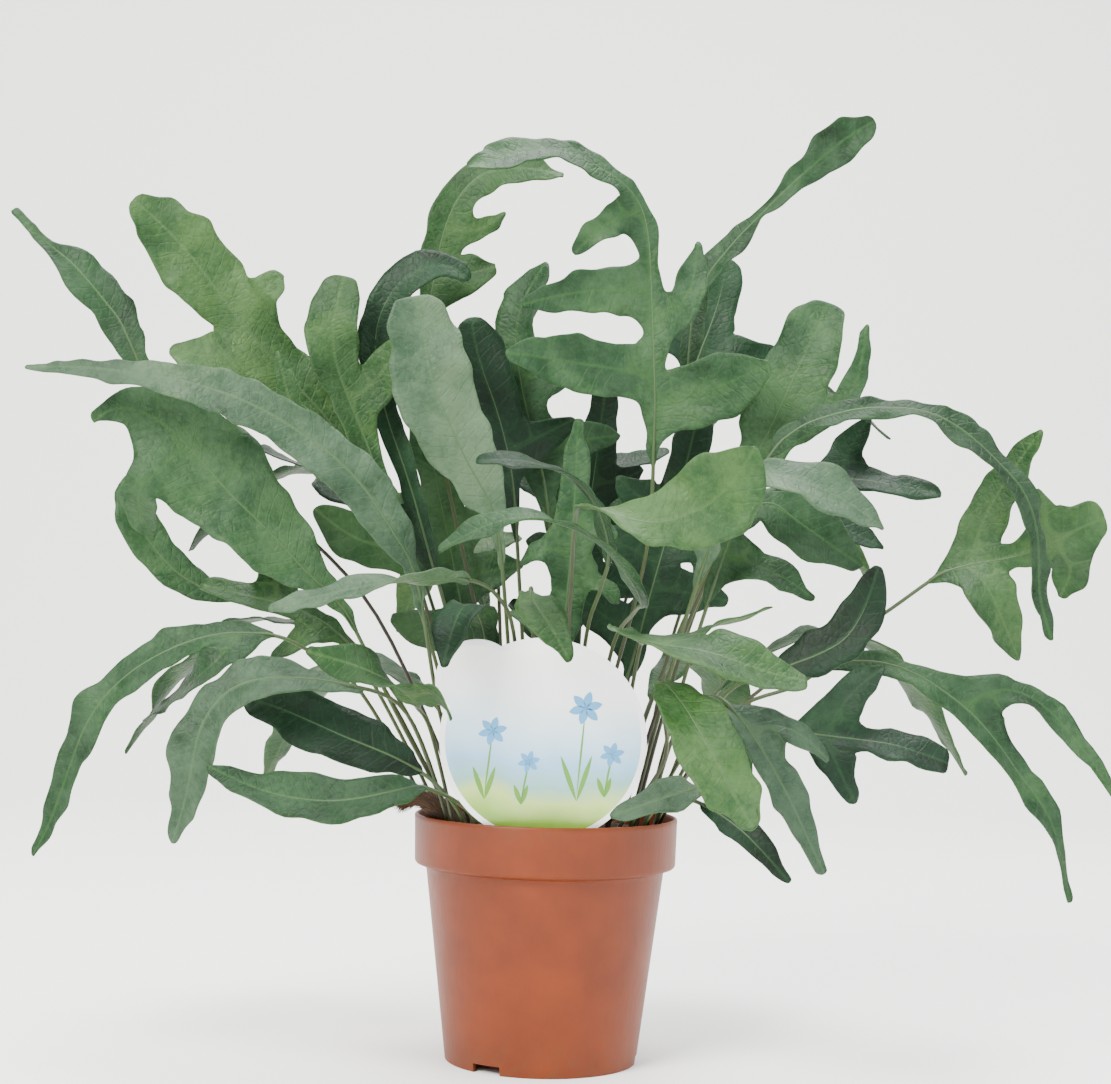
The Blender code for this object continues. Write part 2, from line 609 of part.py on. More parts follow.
frond("frond_lowest_left", "blue", (-27, -45), [(-33, -47, 115), (-40, -50, 121), (-46, -61, 125)],
      [(-54, -80, 129, 4), (-66, -94, 127, 10), (-85, -98, 124, 12), (-106, -98, 124, 11),
       (-123, -98, 129, 8), (-140, -98, 137, 2)], "up front > front up")
frond("frond_left_of_label", "fresh", (-40, -36), [(-51, -47, 150), (-56, -72, 162)],
      [(-54, -98, 164, 4), (-62, -114, 172, 9), (-80, -122, 181, 9), (-98, -126, 186, 2)],
      "back up > up front > front",
      [(0.0, LEFT, -39, -128, 160, 7)])

# Front, over the label
frond("frond_dark_arch", "dark", (10, -24), [(15, -42, 188), (21, -62, 214)],
      [(24, -78, 228, 3), (21, -90, 242, 6.5), (12, -92, 257, 8.5), (-5, -92, 265, 8.5),
       (-20, -91, 267, 6), (-33, -90, 266, 2)], "back right up > right up > up front")
frond("frond_front_arch", "blue", (17, -36), [(26, -48, 184), (35, -88, 205)],
      [(37, -116, 208, 4), (31, -134, 218, 6.5), (18, -140, 232, 6.5), (2, -142, 239, 6.5),
       (-16, -142, 241, 7.5), (-32, -140, 235, 6), (-45, -138, 227, 2)],
      "back right up > right up > up front")
frond("frond_front_folded", "fresh", (6, -31), [(8, -56, 203), (9, -112, 240)],
      [(11, -148, 246, 4), (20, -160, 243, 8), (37, -166, 239, 11), (53, -166, 243, 17),
       (65, -164, 251, 19), (73, -161, 262, 9), (77, -159, 270, 2)], "back up > front up > front > front")
frond("frond_over_label", "fresh", (-4, -35), [(-8, -58, 204)],
      [(-9, -82, 211, 4), (-7, -98, 208, 8), (0, -110, 198, 9), (8, -116, 184, 2)],
      "back up > up > front")
frond("frond_front_right", "fresh", (26, -36), [(38, -52, 184), (38, -88, 192)],
      [(26, -120, 198, 4), (35, -142, 193, 10), (57, -156, 191, 13.5), (79, -158, 184, 12),
       (100, -156, 180, 4)],
      "back up > up > front up > front up", [(0.30, LEFT, 88, -134, 208, 8.5)])
frond("frond_green_front", "fresh", (29, -42), [(50, -58, 140), (47, -100, 166)],
      [(45, -140, 178, 4), (53, -160, 168, 11), (62, -170, 153, 12.5), (71, -176, 137, 10),
       (78, -183, 125, 3)],
      "up front > front")

# Right side
frond("frond_cut_right", "blue", (28, -2), [(56, -6, 190)],
      [(84, -20, 254, 4), (89, -22, 272, 10), (97, -23, 290, 14.5), (106, -24, 311, 15.5),
       (115, -24, 330, 14.5), (121, -22, 346, 9)], "front > front up", [(0.42, RIGHT, 138, -30, 336, 6)])
frond("frond_pale_right", "grey", (37, -19), [(54, -48, 184)],
      [(65, -66, 226, 4), (75, -83, 254, 5), (83, -90, 264, 6.5), (98, -94, 262, 12.5),
       (114, -95, 256, 12.5), (128, -94, 249, 8.5), (138, -92, 242, 2)], "front up > up front",
      [(0.0, LEFT, 34, -72, 238, 8)])
frond("frond_right_middle", "blue", (44, -8), [(60, -30, 176)],
      [(72, -44, 220, 4), (81, -54, 246, 5), (92, -58, 254, 9), (106, -60, 245, 13.5),
       (121, -60, 235, 10), (134, -58, 227, 2)],
      "front up > front",
      [(0.0, RIGHT, 114, -54, 212, 10), (0.12, LEFT, 62, -48, 262, 8)])
frond("frond_right_lobed", "dark", (40, 4), [(66, 4, 205)],
      [(92, 4, 250, 4), (112, 4, 262, 6.5), (132, 5, 268, 6.5), (155, 4, 266, 8), (178, 2, 262, 2)],
      "front up",
      [(0.12, RIGHT, 150, -12, 236, 10.5), (0.42, LEFT, 146, 12, 298, 8.5)])
frond("frond_right_ribbon", "blue", (33, -10), [(58, -20, 190), (82, -36, 250)],
      [(100, -42, 282, 5), (119, -46, 292, 7.5), (136, -48, 296, 6), (158, -50, 296, 6.5),
       (175, -52, 289, 7.5), (192, -54, 274, 6.5), (205, -55, 259, 6), (211, -55, 239, 5),
       (211, -55, 217, 4.5), (217, -55, 197, 2)],
      "front up > front up > right front > front")
frond("frond_far_right", "fresh", (49, 9), [(88, 2, 162), (122, -2, 187), (151, -4, 206)],
      [(180, -6, 227, 4), (198, -7, 231, 5), (214, -8, 235, 6.5), (230, -9, 242, 10),
       (241, -9, 249, 12.5), (251, -9, 253, 8)], "front up > front",
      [(0.0, LEFT, 222, -8, 292, 10.5), (0.0, RIGHT, 212, -14, 187, 13), (0.45, LEFT, 217, -14, 264, 7),
       (0.45, RIGHT, 230, -14, 216, 8.5)])
frond("frond_low_right_arch", "blue", (50, -3), [(78, -30, 158), (108, -42, 174)],
      [(126, -48, 185, 4), (153, -50, 183, 6.5), (182, -51, 166, 8), (204, -52, 139, 8),
       (219, -53, 118, 6), (227, -54, 84, 2)], "front up > front right", [(0.34, LEFT, 250, -46, 126, 7)])
frond("frond_right_hanging", "dark", (42, -14), [(74, -44, 166)],
      [(94, -60, 179, 4), (107, -64, 185, 9), (124, -66, 193, 11), (134, -66, 208, 10),
       (140, -64, 227, 3)],
      "front up > front")
frond("frond_right_low_lobed", "dark", (47, -20), [(72, -64, 160), (90, -78, 158)],
      [(105, -84, 156, 4), (126, -86, 154, 5), (148, -86, 151, 11), (168, -84, 144, 6.5)], "front up",
      [(0.0, LEFT, 142, -76, 184, 8.5), (0.0, RIGHT, 128, -96, 128, 7)])
frond("frond_twisted_right", "grey", (44, -25), [(55, -62, 155), (64, -100, 170)],
      [(74, -120, 167, 4), (90, -124, 144, 8), (102, -126, 121, 8), (112, -126, 102, 2)],
      "up front > front right", [(0.0, LEFT, 114, -112, 146, 7)])
frond("frond_rim_right", "grey", (36, -38), [(39, -42, 115), (44, -47, 122), (57, -56, 129)],
      [(66, -68, 131, 4), (60, -80, 130, 9), (44, -84, 125, 9), (27, -84, 119, 2)], "front up > up front")
frond("frond_below_rim", "dark", (42, -33), [(45, -36, 114), (51, -41, 121), (61, -53, 124)],
      [(68, -72, 123, 3), (79, -86, 117, 6.5), (90, -93, 107, 6), (101, -98, 95, 2)], "up front > front")

# Back: root, azimuth, reach, height of the crest and of the tip, half width, pairs of lobes
arching_frond("frond_back_right_low", "blue", (50, 15), 20, 165, 196, 128, 12)
arching_frond("frond_back_right_side", "fresh", (43, 31), 36, 150, 262, 222, 10, 2)
arching_frond("frond_back_right_tall", "grey", (30, 46), -4, 130, 318, 290, 10, 2)
arching_frond("frond_back_right_drooping", "blue", (36, 38), 62, 150, 186, 112, 13)
arching_frond("frond_back_middle", "dark", (12, 44), 82, 138, 288, 240, 10, 2)
arching_frond("frond_back_middle_low", "blue", (4, 51), 95, 130, 172, 108, 12)
arching_frond("frond_back_left_tall", "blue", (-20, 36), 120, 116, 334, 300, 10, 2)
arching_frond("frond_back_left_lobed", "fresh", (-20, 46), 116, 140, 240, 190, 10, 2)
arching_frond("frond_back_left_low", "grey", (-31, 41), 136, 165, 176, 110, 13)
arching_frond("frond_back_left_middle", "dark", (-36, 32), 154, 165, 272, 230, 10, 2)
arching_frond("frond_back_left_side", "blue", (-47, 20), 168, 160, 196, 130, 12)

# Inside
full_frond("frond_inner_left", "blue", (-26, 27), [(-32, 31, 150)],
           [(-38, 36, 182, 4), (-46, 39, 220, 7), (-55, 41, 258, 8), (-62, 42, 292, 9), (-66, 42, 320, 3)],
           "front", 3, 40)
full_frond("frond_inner_back", "dark", (-2, 36), [(2, 40, 150)],
           [(8, 46, 182, 4), (13, 50, 222, 7), (18, 53, 262, 8), (22, 54, 298, 8), (25, 55, 328, 3)],
           "front", 3, 36)
full_frond("frond_inner_right", "dark", (18, 2), [(28, 5, 150)],
           [(38, 9, 182, 4), (47, 11, 218, 7), (57, 13, 256, 8), (65, 13, 292, 8), (70, 13, 320, 3)],
           "front", 3, 44)
full_frond("frond_inner_front", "blue", (1, -14), [(3, -18, 150)],
           [(5, -23, 184, 4), (7, -28, 212, 7), (9, -33, 250, 8), (10, -35, 290, 3)], "front up", 2, 30)
arching_frond("frond_inner_front_left", "dark", (-22, -28), 250, 66, 208, 180, 9)

make_label()
make_pot()
for label, stem in RHIZOMES.items():
    piece(label, make_rhizome(stem), material("rhizome", (0.16, 0.09, 0.045), 0.95))
make_soil(ROOTS, [make_rhizome(stem, GAP) for stem in RHIZOMES.values()])
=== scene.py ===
"""Blue star fern in its grower's pot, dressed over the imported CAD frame.

Metres in the row frame: +Z up, -Y the front. Pieces are shaped in millimetres and brought to metres.
"""

import math
import random

import bmesh
import bpy
from mathutils import Matrix, Vector, noise
from mathutils.bvhtree import BVHTree


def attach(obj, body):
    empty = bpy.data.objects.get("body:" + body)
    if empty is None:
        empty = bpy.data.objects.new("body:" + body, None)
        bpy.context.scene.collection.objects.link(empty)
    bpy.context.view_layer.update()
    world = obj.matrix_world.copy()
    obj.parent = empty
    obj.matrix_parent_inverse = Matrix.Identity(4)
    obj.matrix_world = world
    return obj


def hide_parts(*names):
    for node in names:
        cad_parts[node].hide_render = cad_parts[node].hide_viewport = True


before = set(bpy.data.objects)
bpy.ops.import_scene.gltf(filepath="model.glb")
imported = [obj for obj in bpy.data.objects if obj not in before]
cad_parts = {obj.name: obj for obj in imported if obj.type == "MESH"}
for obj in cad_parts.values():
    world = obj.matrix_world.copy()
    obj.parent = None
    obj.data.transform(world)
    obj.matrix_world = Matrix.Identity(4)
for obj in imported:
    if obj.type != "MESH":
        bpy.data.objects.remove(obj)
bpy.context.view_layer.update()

# Camera. A long lens a metre in front of the pot, a little above the rim, as the photograph was taken:
# tipped up slightly and rolled a little.
CAMERA_PLACE, CAMERA_PITCH, CAMERA_ROLL, CAMERA_LENS = (0.00115, -1.0, 0.207), 91.65, 1.43, 70.6
camera_lens = bpy.data.cameras.new("camera")
camera_lens.sensor_width = 36.0
camera_lens.lens = CAMERA_LENS
camera_lens.clip_start = 0.05
camera = bpy.data.objects.new("camera", camera_lens)
camera.matrix_world = (Matrix.Translation(CAMERA_PLACE) @ Matrix.Rotation(math.radians(CAMERA_PITCH), 4, "X")
                       @ Matrix.Rotation(math.radians(CAMERA_ROLL), 4, "Z"))
bpy.context.collection.objects.link(camera)
bpy.context.scene.camera = camera


# Studio. A seamless sweep of matt white paper: it lies under the pot and curves up far behind it.
# Three large soft boxes and an even white surrounding light it.
SWEEP_HALF, SWEEP_BACK, SWEEP_CURVE, SWEEP_TOP = 4000, 1200, 900, 3200


def linear(hex_colour):
    """An sRGB hex colour as linear red, green, blue and alpha."""
    parts = [int(hex_colour[place:place + 2], 16) / 255 for place in (1, 3, 5)]
    return (*[part / 12.92 if part <= 0.04045 else ((part + 0.055) / 1.055) ** 2.4 for part in parts], 1.0)


def first_output(made):
    """The first output of a node that is in use."""
    return next(socket for socket in made.outputs if socket.enabled)


def node(tree, kind, inputs=None, **settings):
    """Adds one node with its settings; an input is a value, or another node or its socket to link."""
    made = tree.nodes.new(kind)
    for key, value in settings.items():
        setattr(made, key, value)
    for key, value in (inputs or {}).items():
        if isinstance(value, bpy.types.Node):
            value = first_output(value)
        if isinstance(value, bpy.types.NodeSocket):
            tree.links.new(value, made.inputs[key])
        else:
            made.inputs[key].default_value = value
    return made


def material(name, colour, roughness, **inputs):
    """A material whose Principled shader starts from one colour; the tree and shader come with it."""
    made = bpy.data.materials.new(name)
    made.use_nodes = True
    shader = made.node_tree.nodes["Principled BSDF"]
    shader.inputs["Base Color"].default_value = linear(colour)
    shader.inputs["Roughness"].default_value = roughness
    for key, value in inputs.items():
        shader.inputs[key.replace("_", " ")].default_value = value
    return made, made.node_tree, shader


def add_piece(name, bm, looks, smooth=True):
    """Makes an object of a bmesh in millimetres, with its materials."""
    bmesh.ops.scale(bm, vec=(0.001, 0.001, 0.001), verts=bm.verts)
    mesh = bpy.data.meshes.new(name)
    bm.to_mesh(mesh)
    bm.free()
    for look in looks:
        mesh.materials.append(look)
    if smooth:
        mesh.shade_smooth()
    made = bpy.data.objects.new(name, mesh)
    bpy.context.collection.objects.link(made)
    return made


paper, _, _ = material("matt white paper", "#F4F4F2", 0.9)
bm = bmesh.new()
bm.edges.new([bm.verts.new((-SWEEP_HALF, -SWEEP_HALF, 0)), bm.verts.new((SWEEP_HALF, -SWEEP_HALF, 0))])
row = bm.edges[:]
sweep = [(SWEEP_BACK, 0)]
for step in range(1, 17):
    turn = math.pi / 2 * step / 16
    sweep.append((SWEEP_BACK + SWEEP_CURVE * math.sin(turn), SWEEP_CURVE - SWEEP_CURVE * math.cos(turn)))
sweep.append((SWEEP_BACK + SWEEP_CURVE, SWEEP_TOP))
for depth, height in sweep:
    made = bmesh.ops.extrude_edge_only(bm, edges=row)["geom"]
    for item in made:
        if isinstance(item, bmesh.types.BMVert):
            item.co.y, item.co.z = depth, height
    row = [item for item in made if isinstance(item, bmesh.types.BMEdge)
           and all(abs(vert.co.y - depth) < 0.1 and abs(vert.co.z - height) < 0.1 for vert in item.verts)]
bmesh.ops.recalc_face_normals(bm, faces=bm.faces)
backdrop = add_piece("backdrop", bm, [paper])

for name, place, aim, size, power, tint in (
        ("key_softbox", (-1.1, -1.5, 1.5), (0, 0, 0.25), 1.0, 125, "#FFFCF6"),
        ("fill_softbox", (1.5, -1.1, 0.9), (0, 0, 0.2), 1.2, 30, "#F6FAFF"),
        ("top_softbox", (0.2, 0.3, 1.9), (0, 0, 0.2), 1.2, 70, "#FFFFFF")):
    light = bpy.data.lights.new(name, "AREA")
    light.shape = "SQUARE"
    light.size = size
    light.energy = power
    light.color = linear(tint)[:3]
    lamp = bpy.data.objects.new(name, light)
    lamp.location = place
    lamp.rotation_euler = (Vector(aim) - Vector(place)).to_track_quat("-Z", "Y").to_euler()
    bpy.context.collection.objects.link(lamp)
world = bpy.data.worlds.new("white surround")
world.use_nodes = True
world.node_tree.nodes["Background"].inputs["Color"].default_value = linear("#FFFFFF")
world.node_tree.nodes["Background"].inputs["Strength"].default_value = 1.35
bpy.context.scene.world = world


# Pot. A thin grower's pot, injection-moulded in terracotta-coloured polypropylene: a wide stacking band,
# a tapered wall, and a foot with notches and drain holes in a raised floor.
RIM_RADIUS, POT_HEIGHT, RIM_HEIGHT = 60.0, 111.0, 22.4
WALL_TOP_RADIUS, FOOT_RADIUS, WALL, FLOOR_HEIGHT = 54.2, 43.6, 1.5, 4.5
NOTCHES, NOTCH_WIDTH, NOTCH_HEIGHT, FIRST_NOTCH = 3, 14.0, 4.0, -123.0
DRAINS, DRAIN_RADIUS, DRAIN_RING = 6, 4.0, 27.0
SHARE, UNDER, OVER = 0, 6, 7  # sockets of a colour mix: how much, the colour below and the one above


def turned(profile, sides):
    """Spins a profile of (radius, height) round the Z axis; a radius of 0 becomes a pole."""
    bm = bmesh.new()
    verts = [bm.verts.new((radius, 0, height)) for radius, height in profile]
    edges = [bm.edges.new(pair) for pair in zip(verts, verts[1:])]
    bmesh.ops.spin(bm, geom=verts + edges, cent=(0, 0, 0), axis=(0, 0, 1),
                   angle=math.tau, steps=sides, use_merge=True)
    bmesh.ops.remove_doubles(bm, verts=bm.verts, dist=0.005)
    bmesh.ops.recalc_face_normals(bm, faces=bm.faces)
    return bm


def cutter(name, bm):
    """An object that cuts another and isn't shown."""
    made = add_piece(name, bm, [])
    made.hide_render = True
    made.display_type = "WIRE"
    return made


step = POT_HEIGHT - RIM_HEIGHT
inner, foot_inner = RIM_RADIUS - WALL, FOOT_RADIUS - WALL
pot_profile = [
    (0, FLOOR_HEIGHT), (foot_inner - 1.2, FLOOR_HEIGHT), (foot_inner - 0.6, FLOOR_HEIGHT - 0.5),
    (foot_inner - 0.2, 0.3), (foot_inner, 0), (FOOT_RADIUS - 0.5, 0), (FOOT_RADIUS - 0.1, 0.3),
    (FOOT_RADIUS, 0.9), (FOOT_RADIUS + 0.3, 3.2), (WALL_TOP_RADIUS - 0.2, step - 3.6),
    (WALL_TOP_RADIUS, step - 2.4), (WALL_TOP_RADIUS + 0.5, step - 1.2), (WALL_TOP_RADIUS + 1.5, step - 0.6),
    (RIM_RADIUS - 2.0, step - 0.1),
    (RIM_RADIUS - 1.2, step + 0.2), (RIM_RADIUS - 0.7, step + 0.8), (RIM_RADIUS - 0.5, step + 1.8),
    (RIM_RADIUS - 0.1, POT_HEIGHT - 2.6), (RIM_RADIUS, POT_HEIGHT - 2.0), (RIM_RADIUS, POT_HEIGHT - 0.8),
    (RIM_RADIUS - 0.3, POT_HEIGHT - 0.2), (RIM_RADIUS - 0.8, POT_HEIGHT), (inner + 0.3, POT_HEIGHT),
    (inner, POT_HEIGHT - 0.4), (inner - 0.1, POT_HEIGHT - 1.2), (inner - 0.6, step + WALL),
    (WALL_TOP_RADIUS - WALL + 0.2, step - 1.0), (foot_inner, FLOOR_HEIGHT + WALL + 0.8),
    (foot_inner - 1.0, FLOOR_HEIGHT + WALL), (0, FLOOR_HEIGHT + WALL)]
# Moulded polypropylene: satin, its pigment slightly cloudy, with fine upright scuffs from stacking and
# a breath of dry peat dust that collects at the rim and foot.
plastic, tree, shader = material("moulded polypropylene", "#6B2C0C", 0.46, IOR=1.49, Specular_IOR_Level=0.28)
place = node(tree, "ShaderNodeTexCoord").outputs["Object"]
height = node(tree, "ShaderNodeSeparateXYZ", {"Vector": place}).outputs["Z"]
cloud = node(tree, "ShaderNodeTexNoise", {"Vector": place, "Scale": 38.0, "Detail": 4.0, "Roughness": 0.6})
upright = node(tree, "ShaderNodeMapping", {"Vector": place, "Scale": (900.0, 900.0, 60.0)})
scuff = node(tree, "ShaderNodeTexNoise", {"Vector": upright, "Scale": 1.0, "Detail": 3.0})
grain = node(tree, "ShaderNodeTexNoise", {"Vector": place, "Scale": 1500.0, "Detail": 2.0})
clouded = node(tree, "ShaderNodeMapRange", {"Value": cloud, "From Min": 0.35, "From Max": 0.7})
pigment = node(tree, "ShaderNodeMix", {SHARE: clouded, UNDER: linear("#5E2405"), OVER: linear("#6C2B07")},
               data_type="RGBA")
dust_rim = node(tree, "ShaderNodeMapRange",
                {"Value": height, "From Min": 0.100, "From Max": 0.111, "To Max": 0.5})
dust_foot = node(tree, "ShaderNodeMapRange",
                 {"Value": height, "From Min": 0.022, "From Max": 0.0, "To Max": 0.6})
dust_low = node(tree, "ShaderNodeMath", {0: dust_rim, 1: dust_foot},
                operation="ADD")
dust_spots = node(tree, "ShaderNodeTexNoise",
                  {"Vector": place, "Scale": 170.0, "Detail": 6.0, "Roughness": 0.75})
dust_mask = node(tree, "ShaderNodeMapRange", {"Value": dust_spots, "From Min": 0.42, "From Max": 0.72})
dust = node(tree, "ShaderNodeMath", {0: dust_low, 1: dust_mask},
            operation="MULTIPLY")
coloured = node(tree, "ShaderNodeMix", {SHARE: dust, UNDER: pigment, OVER: linear("#4E3722")},
                data_type="RGBA")
tree.links.new(first_output(coloured), shader.inputs["Base Color"])
rough = node(tree, "ShaderNodeMapRange", {"Value": scuff, "To Min": 0.36, "To Max": 0.58})
tree.links.new(first_output(rough), shader.inputs["Roughness"])
relief = node(tree, "ShaderNodeBump", {"Height": grain, "Distance": 0.00004, "Strength": 0.6})
tree.links.new(first_output(relief), shader.inputs["Normal"])

pot = add_piece("moulded_pot", turned(pot_profile, 128), [plastic])
notches = bmesh.new()
for index in range(NOTCHES):
    turn = math.radians(FIRST_NOTCH + 360 / NOTCHES * index)
    bmesh.ops.create_cube(notches, size=1.0, matrix=(
        Matrix.Rotation(turn, 4, "Z") @ Matrix.Translation((FOOT_RADIUS, 0, 0))
        @ Matrix.Diagonal((8 * WALL, NOTCH_WIDTH, 2 * NOTCH_HEIGHT, 1))))
drains = bmesh.new()
for index in range(DRAINS):
    turn = math.tau * (index + 0.5) / DRAINS
    bmesh.ops.create_cone(
        drains, cap_ends=True, segments=24, radius1=DRAIN_RADIUS, radius2=DRAIN_RADIUS, depth=4 * WALL,
        matrix=Matrix.Rotation(turn, 4, "Z") @ Matrix.Translation((DRAIN_RING, 0, FLOOR_HEIGHT + WALL / 2)))
for tool in (cutter("notch_cutter", notches), cutter("drain_cutter", drains)):
    cut = pot.modifiers.new(tool.name, "BOOLEAN")
    cut.operation, cut.solver, cut.object = "DIFFERENCE", "EXACT", tool
bpy.context.view_layer.update()
carved = bpy.data.meshes.new_from_object(pot.evaluated_get(bpy.context.evaluated_depsgraph_get()))
pot.modifiers.clear()
pot.data = carved
pot.data.shade_smooth()
pot.data.set_sharp_from_angle(angle=math.radians(32))
for tool in ("notch_cutter", "drain_cutter"):
    bpy.data.objects.remove(bpy.data.objects[tool], do_unlink=True)
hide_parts("pot")
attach(pot, "root")


# Peat. Dark, crumbly potting peat filled to a finger's width below the rim; lumps, crumbs and short
# pale fibres lie on it.
SOIL_TOP, BED_GAP, CRUMBS, FIBRES = 99.0, 0.65, 620, 150
NEAR_WALL = 50.0  # farther out than this the bed dips, and what lies on it dips too
rim = RIM_RADIUS - WALL - 0.6 - BED_GAP
bed_profile = [
    (0, FLOOR_HEIGHT + WALL + 0.35), (FOOT_RADIUS - WALL - 1.0 - BED_GAP, FLOOR_HEIGHT + WALL + 0.35),
    (WALL_TOP_RADIUS - WALL - BED_GAP, step), (rim, step + WALL + 1.0), (rim, SOIL_TOP - 3.0)]
bed_profile += [(rim - distance, SOIL_TOP - 2.6 + 2.6 * min(distance / 16, 1.0) ** 0.5 + 0.5)
                for distance in range(1, 57, 2)] + [(0, SOIL_TOP + 0.5)]
bm = turned(bed_profile, 120)
for vert in bm.verts:
    if vert.co.z > SOIL_TOP - 3.1:
        lumps = noise.noise(vert.co * 0.16) * 1.3 + noise.noise(vert.co * 0.55 + Vector((7, 3, 1))) * 0.9
        vert.co.z += lumps * min((RIM_RADIUS - vert.co.xy.length) / 8, 1.0)
rng = random.Random(11)
for _ in range(CRUMBS):
    lump = rng.choice([0.6, 0.8, 1.0, 1.3, 1.9])
    turn, reach = rng.uniform(0, math.tau), (56.8 - 1.8 * lump) * math.sqrt(rng.random())
    height = SOIL_TOP + rng.uniform(-0.2, 0.7) - (1.6 if reach > NEAR_WALL else 0)
    spot = Matrix.Translation((reach * math.cos(turn), reach * math.sin(turn), height))
    squash = Matrix.Diagonal((rng.uniform(0.8, 1.5), rng.uniform(0.7, 1.2), rng.uniform(0.5, 0.9), 1))
    made = bmesh.ops.create_icosphere(bm, subdivisions=1, radius=lump,
                                      matrix=spot @ Matrix.Rotation(turn * 3, 4, "Z") @ squash)["verts"]
    for vert in made:
        vert.co += Vector([rng.uniform(-0.22, 0.22) * lump for _ in range(3)])
for _ in range(FIBRES):
    long = rng.uniform(4, 11)
    turn, reach = rng.uniform(0, math.tau), (56.5 - long / 2) * math.sqrt(rng.random())
    height = SOIL_TOP + rng.uniform(0.3, 1.3) - (1.4 if reach > NEAR_WALL else 0)
    spot = Matrix.Translation((reach * math.cos(turn), reach * math.sin(turn), height))
    lie = (Matrix.Rotation(rng.uniform(0, math.tau), 4, "Z")
           @ Matrix.Rotation(math.radians(90 + rng.uniform(-16, 16)), 4, "Y"))
    made = bmesh.ops.create_cone(bm, segments=4, radius1=0.16, radius2=0.1, depth=long,
                                 matrix=spot @ lie)["verts"]
    for face in {face for vert in made for face in vert.link_faces}:
        face.material_index = 1
# Damp peat: nearly black brown, matt, each crumb its own shade.
peat, tree, shader = material("damp peat", "#2A1C12", 0.95, Specular_IOR_Level=0.2)
place = node(tree, "ShaderNodeTexCoord").outputs["Object"]
crumb = node(tree, "ShaderNodeTexVoronoi", {"Vector": place, "Scale": 520.0})
shade = node(tree, "ShaderNodeValToRGB", {"Fac": crumb})
shade.color_ramp.elements[0].color = linear("#1B120B")
shade.color_ramp.elements[1].color = linear("#4A3423")
tree.links.new(first_output(shade), shader.inputs["Base Color"])
pits = node(tree, "ShaderNodeTexNoise", {"Vector": place, "Scale": 900.0, "Detail": 5.0, "Roughness": 0.7})
relief = node(tree, "ShaderNodeBump", {"Height": pits, "Distance": 0.0006, "Strength": 0.8})
tree.links.new(first_output(relief), shader.inputs["Normal"])
fibre, _, _ = material("dry root fibre", "#8A6B48", 0.85)
peat_bed = add_piece("peat_bed", bm, [peat, fibre])
peat_bed.data.set_sharp_from_angle(angle=math.radians(50))
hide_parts("soil")
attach(peat_bed, "root")


# Rhizomes. Two creeping stems as thick as a pencil, wrapped in narrow papery scales, rusty brown at the
# growing tip, that give them their fur. One leans out over the rim on the left.
RINGS, SCALES = 26, 1500


def curve_point(points, place):
    """The smooth curve through the points at a place counted in points from the first."""
    index = min(int(place), len(points) - 2)
    part = place - index
    before = points[max(index - 1, 0)]
    here, there = points[index], points[index + 1]
    after = points[min(index + 2, len(points) - 1)]
    return 0.5 * (2 * here + (there - before) * part
                  + (2 * before - 5 * here + 4 * there - after) * part ** 2
                  + (3 * here - before - 3 * there + after) * part ** 3)


stem_skin, tree, shader = material("rhizome skin", "#4A2F1B", 0.85)
place = node(tree, "ShaderNodeTexCoord").outputs["Object"]
grain = node(tree, "ShaderNodeTexNoise", {"Vector": place, "Scale": 420.0, "Detail": 5.0})
shade = node(tree, "ShaderNodeValToRGB", {"Fac": grain})
shade.color_ramp.elements[0].color = linear("#170E07")
shade.color_ramp.elements[1].color = linear("#3C2714")
tree.links.new(first_output(shade), shader.inputs["Base Color"])
rusty_scale, tree, shader = material("papery rhizome scale", "#4E3520", 0.7)
place = node(tree, "ShaderNodeTexCoord").outputs["Object"]
grain = node(tree, "ShaderNodeTexNoise", {"Vector": place, "Scale": 260.0, "Detail": 2.0})
shade = node(tree, "ShaderNodeValToRGB", {"Fac": grain})
shade.color_ramp.elements[0].color = linear("#2A1B0F")
shade.color_ramp.elements[1].color = linear("#66482A")
tree.links.new(first_output(shade), shader.inputs["Base Color"])
